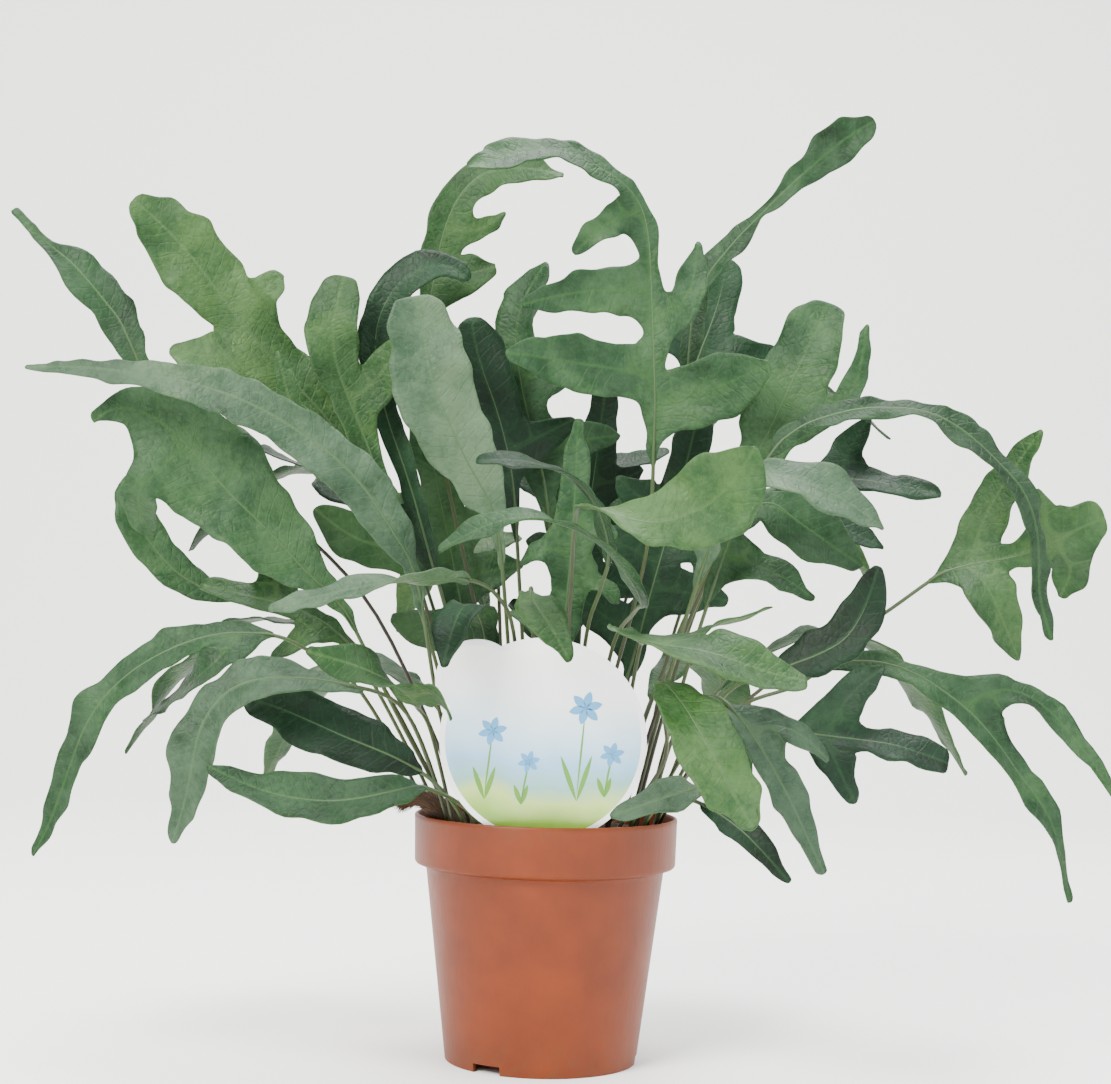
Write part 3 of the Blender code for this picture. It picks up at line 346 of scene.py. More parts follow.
for name, slot, route, radii in (
        ("furry_rhizome_left", "rhizome_left",
         [(-14, -14, 99), (-30, -18, 102), (-44, -21, 111), (-54, -23, 119), (-60, -24, 120),
          (-65, -25, 116)],
         [4.0, 6.5, 6.5, 5.5, 5.0, 2.5]),
        ("furry_rhizome_back", "rhizome_back",
         [(6, 25, 98), (18, 27, 100), (32, 26, 101), (44, 22, 100)], [4.0, 6.0, 5.5, 3.5])):
    spine = [Vector((*point, radius)) for point, radius in zip(route, radii)]
    bm = bmesh.new()
    rings = []
    stations = [curve_point(spine, (len(spine) - 1) * index / RINGS) for index in range(RINGS + 1)]
    for index, station in enumerate(stations):
        ahead = (stations[min(index + 1, RINGS)] - stations[max(index - 1, 0)]).to_3d()
        turn = ahead.to_track_quat("Z", "Y").to_matrix().to_4x4()
        blunt = math.sqrt(max(1 - max(abs(index / RINGS - 0.5) * 2 - 0.9, 0) ** 2 * 80, 0.1))
        ring = bmesh.ops.create_circle(bm, segments=20, radius=(station.w - 0.9) * blunt,
                                       matrix=Matrix.Translation(station.to_3d()) @ turn)["verts"]
        rings.append(list({edge for vert in ring for edge in vert.link_edges}))
    for near, far in zip(rings, rings[1:]):
        bmesh.ops.bridge_loops(bm, edges=near + far)
    bmesh.ops.holes_fill(bm, edges=bm.edges, sides=20)
    bmesh.ops.recalc_face_normals(bm, faces=bm.faces)
    for vert in bm.verts:
        vert.co += vert.normal * noise.noise(vert.co * 0.3) * 0.7
    rng = random.Random(name)
    for _ in range(SCALES):
        place_on = rng.random()
        station = curve_point(spine, place_on * (len(spine) - 1))
        ahead = (curve_point(spine, min(place_on + 0.02, 1.0) * (len(spine) - 1)) - station).to_3d()
        if ahead.length < 0.01:
            continue
        round_turn = rng.uniform(0, math.tau)
        tilt = math.radians(rng.uniform(10, 34))
        long = rng.uniform(2.4, 4.4)
        lie = (Matrix.Translation(station.to_3d()) @ ahead.to_track_quat("Z", "Y").to_matrix().to_4x4()
               @ Matrix.Rotation(round_turn, 4, "Z") @ Matrix.Translation((station.w - 1.3, 0, 0))
               @ Matrix.Rotation(tilt, 4, "Y") @ Matrix.Translation((0, 0, long / 2))
               @ Matrix.Diagonal((0.3, 1.0, 1.0, 1.0)))
        # No scale is left standing in the pot's rim, on which the stem leans.
        tip = lie @ Vector((0, 0, long / 2))
        if RIM_RADIUS - WALL - 1.2 < tip.xy.length < RIM_RADIUS + 0.8 and tip.z < POT_HEIGHT + 0.8:
            continue
        made = bmesh.ops.create_cone(bm, segments=3, radius1=rng.uniform(0.2, 0.45), radius2=0.03, depth=long,
                                     matrix=lie)["verts"]
        for face in {face for vert in made for face in vert.link_faces}:
            face.material_index = 1
    rhizome = add_piece(name, bm, [stem_skin, rusty_scale])
    rhizome.data.set_sharp_from_angle(angle=math.radians(60))
    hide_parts(slot)
    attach(rhizome, "root")


# Label. A punched card of white polypropylene, printed on its face and pushed into the peat on its own
# stake: two joined discs with a pale sky over a meadow and some plain flowers, white along the cut edge.
DISC_RADIUS, DISC_CENTRE = 44.9, Vector((-2.1, 148.2))
SMALL_RADIUS, SMALL_CENTRE = 18.3, Vector((-31.1, 173.5))
CARD_THICK, CARD_FRONT, CARD_LEAN = 0.9, -50.0, 6.0
STAKE_WIDTH, STAKE_FOOT, STAKE_POINT = 11.0, 64.0, 12.0
WHITE_EDGE, INK_LIFT, PETALS = 2.4, 0.03, 6


def arc(centre, radius, first, last, steps):
    """Points along a circle from one turn to another, in degrees."""
    turns = [math.radians(first + (last - first) * index / steps) for index in range(steps + 1)]
    return [(centre.x + radius * math.cos(turn), centre.y + radius * math.sin(turn)) for turn in turns]


def two_discs(inset, stake):
    """The outline of the joined discs, drawn in by an inset, with the stake's point below or without it."""
    large, small = DISC_RADIUS - inset, SMALL_RADIUS - inset
    apart = SMALL_CENTRE - DISC_CENTRE
    toward = math.degrees(math.atan2(apart.y, apart.x))
    chord = (large ** 2 - small ** 2 + apart.length ** 2) / (2 * apart.length)
    on_large = math.degrees(math.acos(chord / large))
    on_small = math.degrees(math.acos((apart.length - chord) / small))
    foot = math.degrees(math.asin(STAKE_WIDTH / 2 / large)) if stake else 0.0
    outline = []
    if stake:
        half = STAKE_WIDTH / 2
        outline = [(DISC_CENTRE.x - half, STAKE_FOOT + STAKE_POINT), (DISC_CENTRE.x, STAKE_FOOT),
                   (DISC_CENTRE.x + half, STAKE_FOOT + STAKE_POINT)]
    outline += arc(DISC_CENTRE, large, -90 + foot, toward - on_large, 72)
    outline += arc(SMALL_CENTRE, small, toward + on_small - 180, toward + 180 - on_small, 36)[1:]
    outline += arc(DISC_CENTRE, large, toward + on_large, 270 - foot, 40)[1:None if stake else -1]
    return outline


def on_card(bm, outline, depth):
    """A flat shape on the card, a little in front of its middle."""
    return bm.faces.new([bm.verts.new((x, -depth, z)) for x, z in outline])


def leaf_outline(x, z, turn, long, wide):
    """A plain pointed petal or blade of grass for the print."""
    shape = []
    for index in range(20):
        share = index / 10 if index <= 10 else 2 - index / 10
        side = wide / 2 * math.sin(share * math.pi) ** 0.8 * (1 if index <= 10 else -1)
        along = long * share
        shape.append((x + along * math.cos(turn) - side * math.sin(turn),
                      z + along * math.sin(turn) + side * math.cos(turn)))
    return shape


card_place = (Matrix.Translation((0, CARD_FRONT, POT_HEIGHT))
              @ Matrix.Rotation(math.radians(CARD_LEAN), 4, "X") @ Matrix.Translation((0, 0, -POT_HEIGHT)))
# White polypropylene sheet, satin, with crisp punched edges.
white_card, _, _ = material("white polypropylene sheet", "#EDEFEF", 0.38, IOR=1.49)
bm = bmesh.new()
face = on_card(bm, two_discs(0.0, True), -CARD_THICK / 2)
moved = [item for item in bmesh.ops.extrude_face_region(bm, geom=[face])["geom"]
         if isinstance(item, bmesh.types.BMVert)]
bmesh.ops.translate(bm, vec=(0, -CARD_THICK, 0), verts=moved)
bmesh.ops.recalc_face_normals(bm, faces=bm.faces)
corners = [edge for edge in bm.edges if abs(edge.verts[0].co.y - edge.verts[1].co.y) < 0.01]
bmesh.ops.bevel(bm, geom=corners, offset=0.12, affect="EDGES", segments=2, profile=0.5, material=-1)
bmesh.ops.transform(bm, matrix=card_place, verts=bm.verts)
card = add_piece("label_card", bm, [white_card])
card.data.set_sharp_from_angle(angle=math.radians(40))
# Offset print: white at the top, a soft blue haze, distant hills and a sunlit meadow, in thin ink.
print_ink, tree, shader = material("offset print on the card", "#F2F5F2", 0.32, IOR=1.49)
place = node(tree, "ShaderNodeTexCoord").outputs["Object"]
height = node(tree, "ShaderNodeSeparateXYZ", {"Vector": place}).outputs["Z"]
cloud = node(tree, "ShaderNodeTexNoise", {"Vector": place, "Scale": 28.0, "Detail": 3.0})
drift = node(tree, "ShaderNodeMath", {0: cloud, 1: 0.026, 2: height}, operation="MULTIPLY_ADD")
tall = node(tree, "ShaderNodeMapRange", {"Value": drift, "From Min": 0.118, "From Max": 0.206})
ramp = node(tree, "ShaderNodeValToRGB", {"Fac": tall})
ramp.color_ramp.elements[0].color = linear("#587F22")
ramp.color_ramp.elements[1].color = linear("#F4F4EE")
for position, colour in ((0.10, "#7DA23A"), (0.20, "#A6C06A"), (0.27, "#7FAAA0"), (0.36, "#86B4D2"),
                         (0.50, "#B4D2E2"), (0.68, "#E0E9E8")):
    ramp.color_ramp.elements.new(position).color = linear(colour)
tree.links.new(first_output(ramp), shader.inputs["Base Color"])
stem_green, _, _ = material("leaf green ink", "#4E841C", 0.32, IOR=1.49)
petal_blue, _, _ = material("sky blue ink", "#4A8FBC", 0.32, IOR=1.49)
bm = bmesh.new()
on_card(bm, two_discs(WHITE_EDGE, False), CARD_THICK / 2 + INK_LIFT)
inks = []
for x, foot, z, long in ((-24, 124, 152, 6.5), (-8, 122, 139, 5.0), (16, 124, 163, 7.5), (28, 126, 143, 5.5)):
    sway = math.atan2(z - foot, 3)
    inks.append((leaf_outline(x - 3, foot, sway, math.hypot(z - foot, 3), 0.9), 1))
    for lean in (0.35, -0.3):
        inks.append((leaf_outline(x - 3, foot - 2, math.pi / 2 + lean, 0.55 * (z - foot), 2.2), 1))
    for petal in range(PETALS):
        inks.append((leaf_outline(x, z, math.tau * (petal + 0.25) / PETALS, long, 0.5 * long), 2))
for outline, ink in inks:
    on_card(bm, outline, CARD_THICK / 2 + INK_LIFT + 0.02 * ink).material_index = ink
for face in bm.faces:
    if face.normal.y > 0:
        face.normal_flip()
bmesh.ops.transform(bm, matrix=card_place, verts=bm.verts)
label_print = add_piece("label_print", bm, [print_ink, stem_green, petal_blue], smooth=False)
for made in (card, label_print):
    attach(made, "root")
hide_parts("label")


# Fronds. Each rises from a rhizome on a wiry green-brown stalk that runs on as the blade's pale midrib.
# The blades are leathery, matt and cupped, with wavy margins and a blue-grey bloom; the older ones are
# cut into long lobes. They are laid out in the same places as in the CAD frame and grown finer.
LEFT, RIGHT = -1, 1
STALK_RADIUS, MIDRIB_RADIUS, LOBE_RIB_RADIUS = 0.9, 0.26, 0.27
BLADE_THICK, BLADE_STEP, STALK_STEP, HOLE_DEPTH = 0.6, 12.0, 26.0, 8.0
CUP, WAVE, WAVE_LENGTH, EDGE, EDGE_LENGTH = 0.16, 0.20, 46.0, 0.08, 40.0
WORDS = {"front": (0, -1, 0), "back": (0, 1, 0), "left": (-1, 0, 0), "right": (1, 0, 0),
         "up": (0, 0, 1), "down": (0, 0, -1)}
SIDE_VEIN_SPACING = 6.0
noise.seed_set(7)  # so that the small waves of the margins come out the same each time
# Fronds that show large, which are made with finer faces.
CLOSE_UP = ("top_arch", "top_left", "top_right", "upper_left", "broad_grey", "left_cupped", "long_ribbon",
            "big_left", "pale_left", "grey_hanging", "front_arch", "front_folded", "front_right",
            "green_front", "cut_right", "pale_right", "right_ribbon", "far_right", "twisted_right",
            "low_left_arch")


def leaf_look(name, dark, middle, light, vein, bloom, relief_depth):
    """Living leaf: cloudy colour, a waxy bloom, paler midrib, margin and side veins, and a fine net."""
    made, tree, shader = material(name, middle, 0.56, IOR=1.42, Specular_IOR_Level=0.24)
    place = node(tree, "ShaderNodeTexCoord").outputs["Object"]
    across, along, half, tint = (node(tree, "ShaderNodeAttribute", attribute_name=noted).outputs["Fac"]
                                 for noted in ("across", "along", "half", "tint"))
    # Colour drifts over a few centimetres and mottles within millimetres; each frond has its own depth.
    cloud = node(tree, "ShaderNodeTexNoise",
                 {"Vector": place, "Scale": 34.0, "Detail": 3.0, "Distortion": 0.6})
    mottle = node(tree, "ShaderNodeTexNoise",
                  {"Vector": place, "Scale": 330.0, "Detail": 4.0, "Roughness": 0.65})
    fine = node(tree, "ShaderNodeMath", {0: mottle, 1: 0.5, 2: cloud},
                operation="MULTIPLY_ADD")
    depth = node(tree, "ShaderNodeMath", {0: tint, 1: 0.16, 2: fine}, operation="MULTIPLY_ADD")
    ramp = node(tree, "ShaderNodeValToRGB", {"Fac": depth})
    ramp.color_ramp.elements[0].position = 0.46
    ramp.color_ramp.elements[1].position = 1.0
    ramp.color_ramp.elements[0].color = linear(dark)
    ramp.color_ramp.elements[1].color = linear(light)
    ramp.color_ramp.elements.new(0.75).color = linear(middle)
    # The bloom lies thicker in patches, as a film rubbed off here and there.
    film = node(tree, "ShaderNodeTexNoise", {"Vector": place, "Scale": 75.0, "Detail": 5.0, "Roughness": 0.7})
    rubbed = node(tree, "ShaderNodeMapRange", {"Value": film, "From Min": 0.38, "From Max": 0.72,
                                               "To Max": 0.42})
    waxy = node(tree, "ShaderNodeMix", {SHARE: rubbed, UNDER: ramp, OVER: linear(bloom)},
                data_type="RGBA")
    # Pale specks of scale and dust, under half a millimetre wide.
    speck = node(tree, "ShaderNodeTexVoronoi", {"Vector": place, "Scale": 420.0})
    dotted = node(tree, "ShaderNodeMapRange", {"Value": speck, "From Min": 0.16,
                                               "From Max": 0.08, "To Max": 0.45})
    dusted = node(tree, "ShaderNodeMix", {SHARE: dotted, UNDER: waxy, OVER: linear(vein)},
                  data_type="RGBA")
    # Side veins leave the midrib at even distances and sweep forward to the margin.
    out = node(tree, "ShaderNodeMath", {0: across}, operation="ABSOLUTE")
    swept = node(tree, "ShaderNodeMath", {0: out, 1: -0.62, 2: along}, operation="MULTIPLY_ADD")
    strayed = node(tree, "ShaderNodeMath", {0: cloud, 1: 9.0, 2: swept},
                   operation="MULTIPLY_ADD")
    turns = node(tree, "ShaderNodeMath", {0: strayed, 1: math.tau / SIDE_VEIN_SPACING}, operation="MULTIPLY")
    wave = node(tree, "ShaderNodeMath", {0: turns}, operation="COSINE")
    side_vein = node(tree, "ShaderNodeMapRange", {"Value": wave, "From Min": 0.86,
                                                  "From Max": 1.0}, interpolation_type="SMOOTHSTEP")
    midrib = node(tree, "ShaderNodeMapRange", {"Value": out, "From Min": 1.0, "From Max": 0.3},
                  interpolation_type="SMOOTHSTEP")
    share = node(tree, "ShaderNodeMath", {0: out, 1: half}, operation="DIVIDE")
    margin = node(tree, "ShaderNodeMapRange", {"Value": share, "From Min": 0.93, "From Max": 1.0,
                                               "To Max": 0.4})
    faint = node(tree, "ShaderNodeMath", {0: side_vein, 1: 0.16}, operation="MULTIPLY")
    strong = node(tree, "ShaderNodeMath", {0: midrib, 1: 0.45}, operation="MULTIPLY")
    inner = node(tree, "ShaderNodeMath", {0: faint, 1: strong},
                 operation="MAXIMUM")
    pale = node(tree, "ShaderNodeMath", {0: inner, 1: margin},
                operation="MAXIMUM")
    veined = node(tree, "ShaderNodeMix", {SHARE: pale, UNDER: dusted, OVER: linear(vein)},
                  data_type="RGBA")
    tree.links.new(first_output(veined), shader.inputs["Base Color"])
    # Between the veins the blade is puckered; bloom dulls the shine.
    net = node(tree, "ShaderNodeTexVoronoi", {"Vector": place, "Scale": 300.0}, feature="DISTANCE_TO_EDGE")
    swell = node(tree, "ShaderNodeMapRange", {"Value": net, "From Max": 0.22})
    pucker = node(tree, "ShaderNodeMath", {0: side_vein, 1: -0.9, 2: swell},
                  operation="MULTIPLY_ADD")
    sunken = node(tree, "ShaderNodeMath", {0: mottle, 1: 0.5, 2: pucker},
                  operation="MULTIPLY_ADD")
    relief = node(tree, "ShaderNodeBump", {"Height": sunken, "Distance": relief_depth,
                                           "Strength": 0.7})
    tree.links.new(first_output(relief), shader.inputs["Normal"])
    sheen = node(tree, "ShaderNodeMapRange", {"Value": film, "From Min": 0.3, "From Max": 0.7,
                                              "To Min": 0.44, "To Max": 0.66})
    tree.links.new(first_output(sheen), shader.inputs["Roughness"])
    return made


# Glaucous, grey and fresh leaf, and a leaf darkened with painted shade, each with its paler underside. For
# each: three colours from dark to light, those of the veins and the bloom, and how deep the relief is in
# metres.
LEAF_LOOKS = {}
for tone, slot, blade, under in (
        ("blue", "blue-green leaf",
         ("glaucous leaf blade", "#051D09", "#113014", "#2D4928", "#2C4B23", "#3C553D", 0.00022),
         ("glaucous leaf underside", "#0F2D14", "#234221", "#3A542F", "#42592A", "#324E33", 0.00024)),
        ("grey", "grey-green leaf",
         ("grey bloomed leaf blade", "#142A17", "#263E2A", "#3E533B", "#3D5437", "#4E634D", 0.00020),
         ("grey leaf underside", "#1A351E", "#2D482B", "#425838", "#495E39", "#3E553C", 0.00022)),
        ("fresh", "fresh green leaf",
         ("fresh leaf blade", "#082309", "#183715", "#345026", "#3A542D", "#3D5737", 0.00022),
         ("fresh leaf underside", "#12310B", "#27481A", "#3F5B2B", "#455D30", "#385433", 0.00024)),
        # Painted shade: the shaded leaf's darker colours stand for the shade that falls on fronds inside and
        # under the bush.
        ("dark", "dark green leaf",
         ("shaded leaf blade", "#051005", "#05200D", "#16331B", "#1E3B20", "#15311F", 0.00018),
         ("shaded leaf underside", "#052107", "#153215", "#2A4521", "#304922", "#233E25", 0.00024))):
    LEAF_LOOKS[tone] = slot, leaf_look(*blade), leaf_look(*under)
# Stalk and midrib: wiry and smooth, green-brown below and pale yellow-green where the blade begins.
stalk_skin, tree, shader = material("fern stalk and midrib", "#353512", 0.5, IOR=1.45)
reached = node(tree, "ShaderNodeAttribute", attribute_name="along").outputs["Fac"]
place = node(tree, "ShaderNodeTexCoord").outputs["Object"]
stretch = node(tree, "ShaderNodeTexNoise", {"Vector": place, "Scale": 160.0, "Detail": 3.0})
drifted = node(tree, "ShaderNodeMath", {0: stretch, 1: 26.0, 2: reached}, operation="MULTIPLY_ADD")
ripened = node(tree, "ShaderNodeMapRange", {"Value": drifted, "From Min": -130.0, "From Max": 50.0})
shade = node(tree, "ShaderNodeValToRGB", {"Fac": ripened})
shade.color_ramp.elements[0].color = linear("#1D1506")
shade.color_ramp.elements[1].color = linear("#2C4623")
shade.color_ramp.elements.new(0.55).color = linear("#283606")
tree.links.new(first_output(shade), shader.inputs["Base Color"])


def even_places(points, first, last, spacing):
    """Places from first to last, about one spacing apart along the curve."""
    fine = [first + (last - first) * index / 200 for index in range(201)]
    spots = [curve_point(points, at).to_3d() for at in fine]
    lengths = [0.0]
    for near, far in zip(spots, spots[1:]):
        lengths.append(lengths[-1] + (far - near).length)
    count = max(round(lengths[-1] / spacing), 1)
    wanted = [lengths[-1] * index / count for index in range(count + 1)]
    return [fine[next((index for index, length in enumerate(lengths) if length >= want - 1e-6), 200)]
            for want in wanted]


def facings(words):
    """Turns words such as "front up > up" into directions that a blade's upper side faces."""
    return [sum((Vector(WORDS[word]) for word in group.split()), Vector()) for group in words.split(">")]


def facing_at(found, share):
    """The direction at a share of the way along a frond."""
    if len(found) == 1:
        return found[0]
    at = share * (len(found) - 1)
    index = min(int(at), len(found) - 2)
    return found[index].lerp(found[index + 1], at - index).normalized()


def extend(bm, row, spots):
    """Extrudes the edges that join a row of vertices and moves the new row to its spots."""
    edges = [bm.edges.get(pair) for pair in zip(row, row[1:])]
    made = bmesh.ops.extrude_edge_only(bm, edges=edges)["geom"]
    verts = [item for item in made if isinstance(item, bmesh.types.BMVert)]
    new_row = [min(verts, key=lambda vert: (vert.co - old.co).length_squared) for old in row]
    for vert, spot in zip(new_row, spots):
        vert.co = spot
    return new_row


def across_blade(centre, ahead, facing, half, rise):
    """Three spots across a blade: its left edge, its midrib and its right edge."""
    side = ahead.cross(facing).normalized()
    normal = side.cross(ahead).normalized()
    return [centre - side * half + normal * rise[0], centre, centre + side * half + normal * rise[1]]


def mark(row, layers, half, along):
    """Notes on a row how far each vertex lies from the midrib, the half width and how far along it is."""
    for vert, out in zip(row, (-half, 0.0, half)):
        vert[layers["across"]], vert[layers["half"]], vert[layers["along"]] = out, half, along


def lobe_half(share, base_half, half):
    """Half width of a lobe: from its base to its widest at a third, then round to a blunt tip."""
    if share < 0.35:
        return base_half + (half - base_half) * math.sin(share / 0.35 * math.pi / 2)
    return max(half * (1 - ((share - 0.35) / 0.65) ** 2.4) ** 0.7, 0.22 * half, 1.2)


def grow_lobe(bm, layers, rows, station, side, tip, half, rng, facing):
    """Grows one lobe out of two neighbouring edges of the rachis; returns the way its own rib takes."""
    column = 2 if side > 0 else 0
    base = [rows[station + number][column] for number in (0, 1, 2)]
    if side > 0:
        base.reverse()
    start = base[1].co.copy()
    outward = (start - rows[station + 1][1].co).normalized()
    forward = (rows[station + 2][1].co - rows[station][1].co).normalized()
    reach = (tip - start).length
    bend = start + (outward * 0.42 + forward * 0.10) * reach
    base_half = (base[2].co - base[0].co).length / 2
    count = max(3, round(reach / 15))
    phase = rng.uniform(0, math.tau)
    base[1][layers["across"]] = 0.0
    rib = [rows[station + 1][1].co.copy(), start]
    row = base
    for index in range(1, count + 1):
        share = index / count
        centre = start.lerp(bend, share).lerp(bend.lerp(tip, share), share)
        ahead = (bend.lerp(tip, share) - start.lerp(bend, share)).normalized()
        width = lobe_half(share, base_half, half)
        rise = [width * (CUP + WAVE * math.sin(share * reach / WAVE_LENGTH * math.tau + phase + turn))
                for turn in (0, 2.2)]
        row = extend(bm, row, across_blade(centre, ahead, facing, width, rise))
        mark(row, layers, width, share * reach)
        rib.append(centre)
    return rib


def tube(bm, spots, radii, layers, start_along, tint, sides=7):
    """A tapering round stem through spots, closed at both ends."""
    rings = []
    walked = start_along
    for index, (spot, radius) in enumerate(zip(spots, radii)):
        ahead = spots[min(index + 1, len(spots) - 1)] - spots[max(index - 1, 0)]
        turn = ahead.to_track_quat("Z", "Y").to_matrix().to_4x4()
        ring = []
        for corner in range(sides):
            angle = math.tau * corner / sides
            spoke = Vector((radius * math.cos(angle), radius * math.sin(angle), 0))
            ring.append(bm.verts.new(Matrix.Translation(spot) @ turn @ spoke))
        walked += (spot - spots[index - 1]).length if index else 0.0
        for vert in ring:
            vert[layers["along"]], vert[layers["tint"]] = walked, tint
        rings.append(ring)
    faces = [bm.faces.new((near[k], near[(k + 1) % sides], far[(k + 1) % sides], far[k]))
             for near, far in zip(rings, rings[1:]) for k in range(sides)]
    faces += [bm.faces.new(reversed(rings[0])), bm.faces.new(rings[-1])]
    for face in faces:
        face.material_index, face.smooth = 2, True


def applied(piece):
    """Bakes a piece's live modifiers into its mesh."""
    bpy.context.view_layer.update()
    mesh = bpy.data.meshes.new_from_object(piece.evaluated_get(bpy.context.evaluated_depsgraph_get()))
    piece.modifiers.clear()
    piece.data = mesh


def build_frond(name, tone, root, stalk, blade, facing, lobes):
    """One frond: the coarse sheet of the frame, smoothed, waved, thickened and given stalk and ribs."""
    rng = random.Random(name)
    facing = [toward.normalized() for toward in facing]
    route = [(*root, SOIL_TOP - HOLE_DEPTH + 1.0, 1.4), (*root, SOIL_TOP + 6.0, 1.4)]
    route += [(*point, 1.4) for point in stalk] + blade
    points = [Vector(point) for point in route]
    blade_from, last = len(points) - len(blade), len(points) - 1
    places = [0.0, 1.0]
    for near in range(1, blade_from):
        places += even_places(points, near, near + 1, STALK_STEP)[1:]
    blade_start = len(places) - 1
    places += even_places(points, blade_from, last, BLADE_STEP)[1:]
    phases = [rng.uniform(0, math.tau) for _ in range(3)]
    bm = bmesh.new()
    layers = {key: bm.verts.layers.float.new(key) for key in ("across", "half", "along", "tint")}
    # The sheet: three vertices a row, from the left margin over the midrib to the right one.
    rows, walked, previous, begun = [], 0.0, None, 0.0
    for index, place in enumerate(places):
        centre = curve_point(points, place).to_3d()
        walked += (centre - previous).length if previous else 0.0
        previous = centre
        if index == blade_start:
            begun = walked
        if index < blade_start:
            continue
        spread = curve_point(points, min(place + 0.05, last)) - curve_point(points, max(place - 0.05, 0))
        share = (index - blade_start) / (len(places) - 1 - blade_start)
        half = max(curve_point(points, place).w, 1.4)
        rise = (0.0, 0.0)
        if index > blade_start:
            half *= 1 + EDGE * math.sin(walked / EDGE_LENGTH * math.tau + phases[2])
            rise = [half * (CUP + WAVE * math.sin(walked / WAVE_LENGTH * math.tau + phase))
                    for phase in phases[:2]]
        spots = across_blade(centre, spread.to_3d().normalized(), facing_at(facing, share), half, rise)
        if rows:
            rows.append(extend(bm, rows[-1], spots))
        else:
            rows.append([bm.verts.new(spot) for spot in spots])
            for pair in zip(rows[0], rows[0][1:]):
                bm.edges.new(pair)
        mark(rows[-1], layers, half, walked - begun)
    midrib = [row[1].co.copy() for row in rows]
    ribs = []
    for share, side, x, y, z, half in lobes:
        station = min(round(share * (len(rows) - 1)), len(rows) - 4)
        ribs.append(grow_lobe(bm, layers, rows, station, side, Vector((x, y, z)), half, rng,
                              facing_at(facing, share)))
    # The blade runs down onto the stalk in two narrow wings.
    ahead = (rows[1][1].co - rows[0][1].co).normalized()
    foot = curve_point(points, blade_from - 0.35).to_3d()
    narrow = extend(bm, rows[0], across_blade(foot, ahead, facing[0], 0.5, (0.0, 0.0)))
    mark(narrow, layers, 0.5, -8.0)
    bmesh.ops.recalc_face_normals(bm, faces=bm.faces)
    if rows[1][1].link_faces[0].normal.dot(facing[0]) < 0:
        bmesh.ops.reverse_faces(bm, faces=bm.faces)
    tint = random.Random(name + "tint").uniform(-1, 1)
    for vert in bm.verts:
        vert[layers["tint"]] = tint
    slot, upper, under = LEAF_LOOKS[tone]
    made = add_piece(name + "_leaf", bm, [upper, under, stalk_skin])
    smooth = made.modifiers.new("smooth growth", "SUBSURF")
    smooth.levels = smooth.render_levels = 3 if name[6:] in CLOSE_UP else 2
    applied(made)
    # Small waves along the margins, and a last unevenness over the whole blade.
    out, half = made.data.attributes["across"].data, made.data.attributes["half"].data
    for vert in made.data.vertices:
        share = min(abs(out[vert.index].value) / max(half[vert.index].value, 1.0), 1.0)
        spot = vert.co * 1000
        push = noise.noise_vector(spot / 11) * 2.6 * share ** 2 + noise.noise_vector(spot / 34) * 0.6
        vert.co += push * 0.001
    # The sheet becomes a thin blade; stalk, midrib and ribs are laid along its middle.
    shape = bmesh.new()
    shape.from_mesh(made.data)
    surface = BVHTree.FromBMesh(shape)
    shape.free()
    shell = made.modifiers.new("blade thickness", "SOLIDIFY")
    shell.thickness, shell.offset, shell.material_offset = BLADE_THICK * 0.001, 0.0, 1
    applied(made)
    bm = bmesh.new()
    bm.from_mesh(made.data)
    bmesh.ops.scale(bm, vec=(1000, 1000, 1000), verts=bm.verts)
    layers = {key: bm.verts.layers.float[key] for key in ("along", "tint")}
    lower = [curve_point(points, index / 7).to_3d() for index in range(blade_from * 7)]
    upper_part = [surface.find_nearest(spot * 0.001)[0] * 1000 for spot in along_curve(midrib, 4)]
    spots = lower + upper_part
    stem = [STALK_RADIUS] * len(lower)
    stem += [STALK_RADIUS + (MIDRIB_RADIUS - STALK_RADIUS) * (index / len(upper_part)) ** 0.35
             for index in range(len(upper_part))]
    length = sum((far - near).length for near, far in zip(lower, lower[1:]))
    tube(bm, spots, stem, layers, -length, tint)
    for rib in ribs:
        line = [surface.find_nearest(spot * 0.001)[0] * 1000 for spot in along_curve(rib, 3)]
        fade = [LOBE_RIB_RADIUS * (1.3 - index / len(line)) for index in range(len(line))]
        tube(bm, line, fade, layers, 25.0, tint, 5)
    bmesh.ops.scale(bm, vec=(0.001, 0.001, 0.001), verts=bm.verts)
    bm.to_mesh(made.data)
    bm.free()
    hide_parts(name)
    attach(made, "root")


def along_curve(spots, each):
    """A smooth line through spots with some points between each two."""
    return [curve_point(spots, index / each) for index in range((len(spots) - 1) * each + 1)]


def frond(name, tone, root, stalk, blade, face, lobes=()):
    """A frond laid out from listed points: face says in words which way its upper side looks along it."""
    build_frond(name, tone, root, stalk, blade, facings(face), lobes)


def even_lobes(blade, facing, pairs, length):
    """Lobes that alternate left and right along a blade and grow shorter towards its tip."""
    points = [Vector(point[:3]) for point in blade]
    lobes = []
    for index in range(2 * pairs):
        share = 0.04 + 0.28 * index / pairs
        at = share * (len(points) - 1)
        here = curve_point(points, at)
        ahead = (curve_point(points, at + 0.1) - here).normalized()
        side = ahead.cross(facing_at(facing, share)).normalized()
        hand = RIGHT if index % 2 else LEFT
        reach = length * (1 - 0.15 * index / pairs)
        lobes.append((share, hand, *(here + side * hand * 0.85 * reach + ahead * 0.5 * reach), 0.24 * reach))
    return lobes


def full_frond(name, tone, root, stalk, blade, face, pairs, length):
    """An upright frond of the bush's inside, with its lobes set out by rule."""
    facing = facings(face)
    build_frond(name, tone, root, stalk, blade, facing, even_lobes(blade, facing, pairs, length))


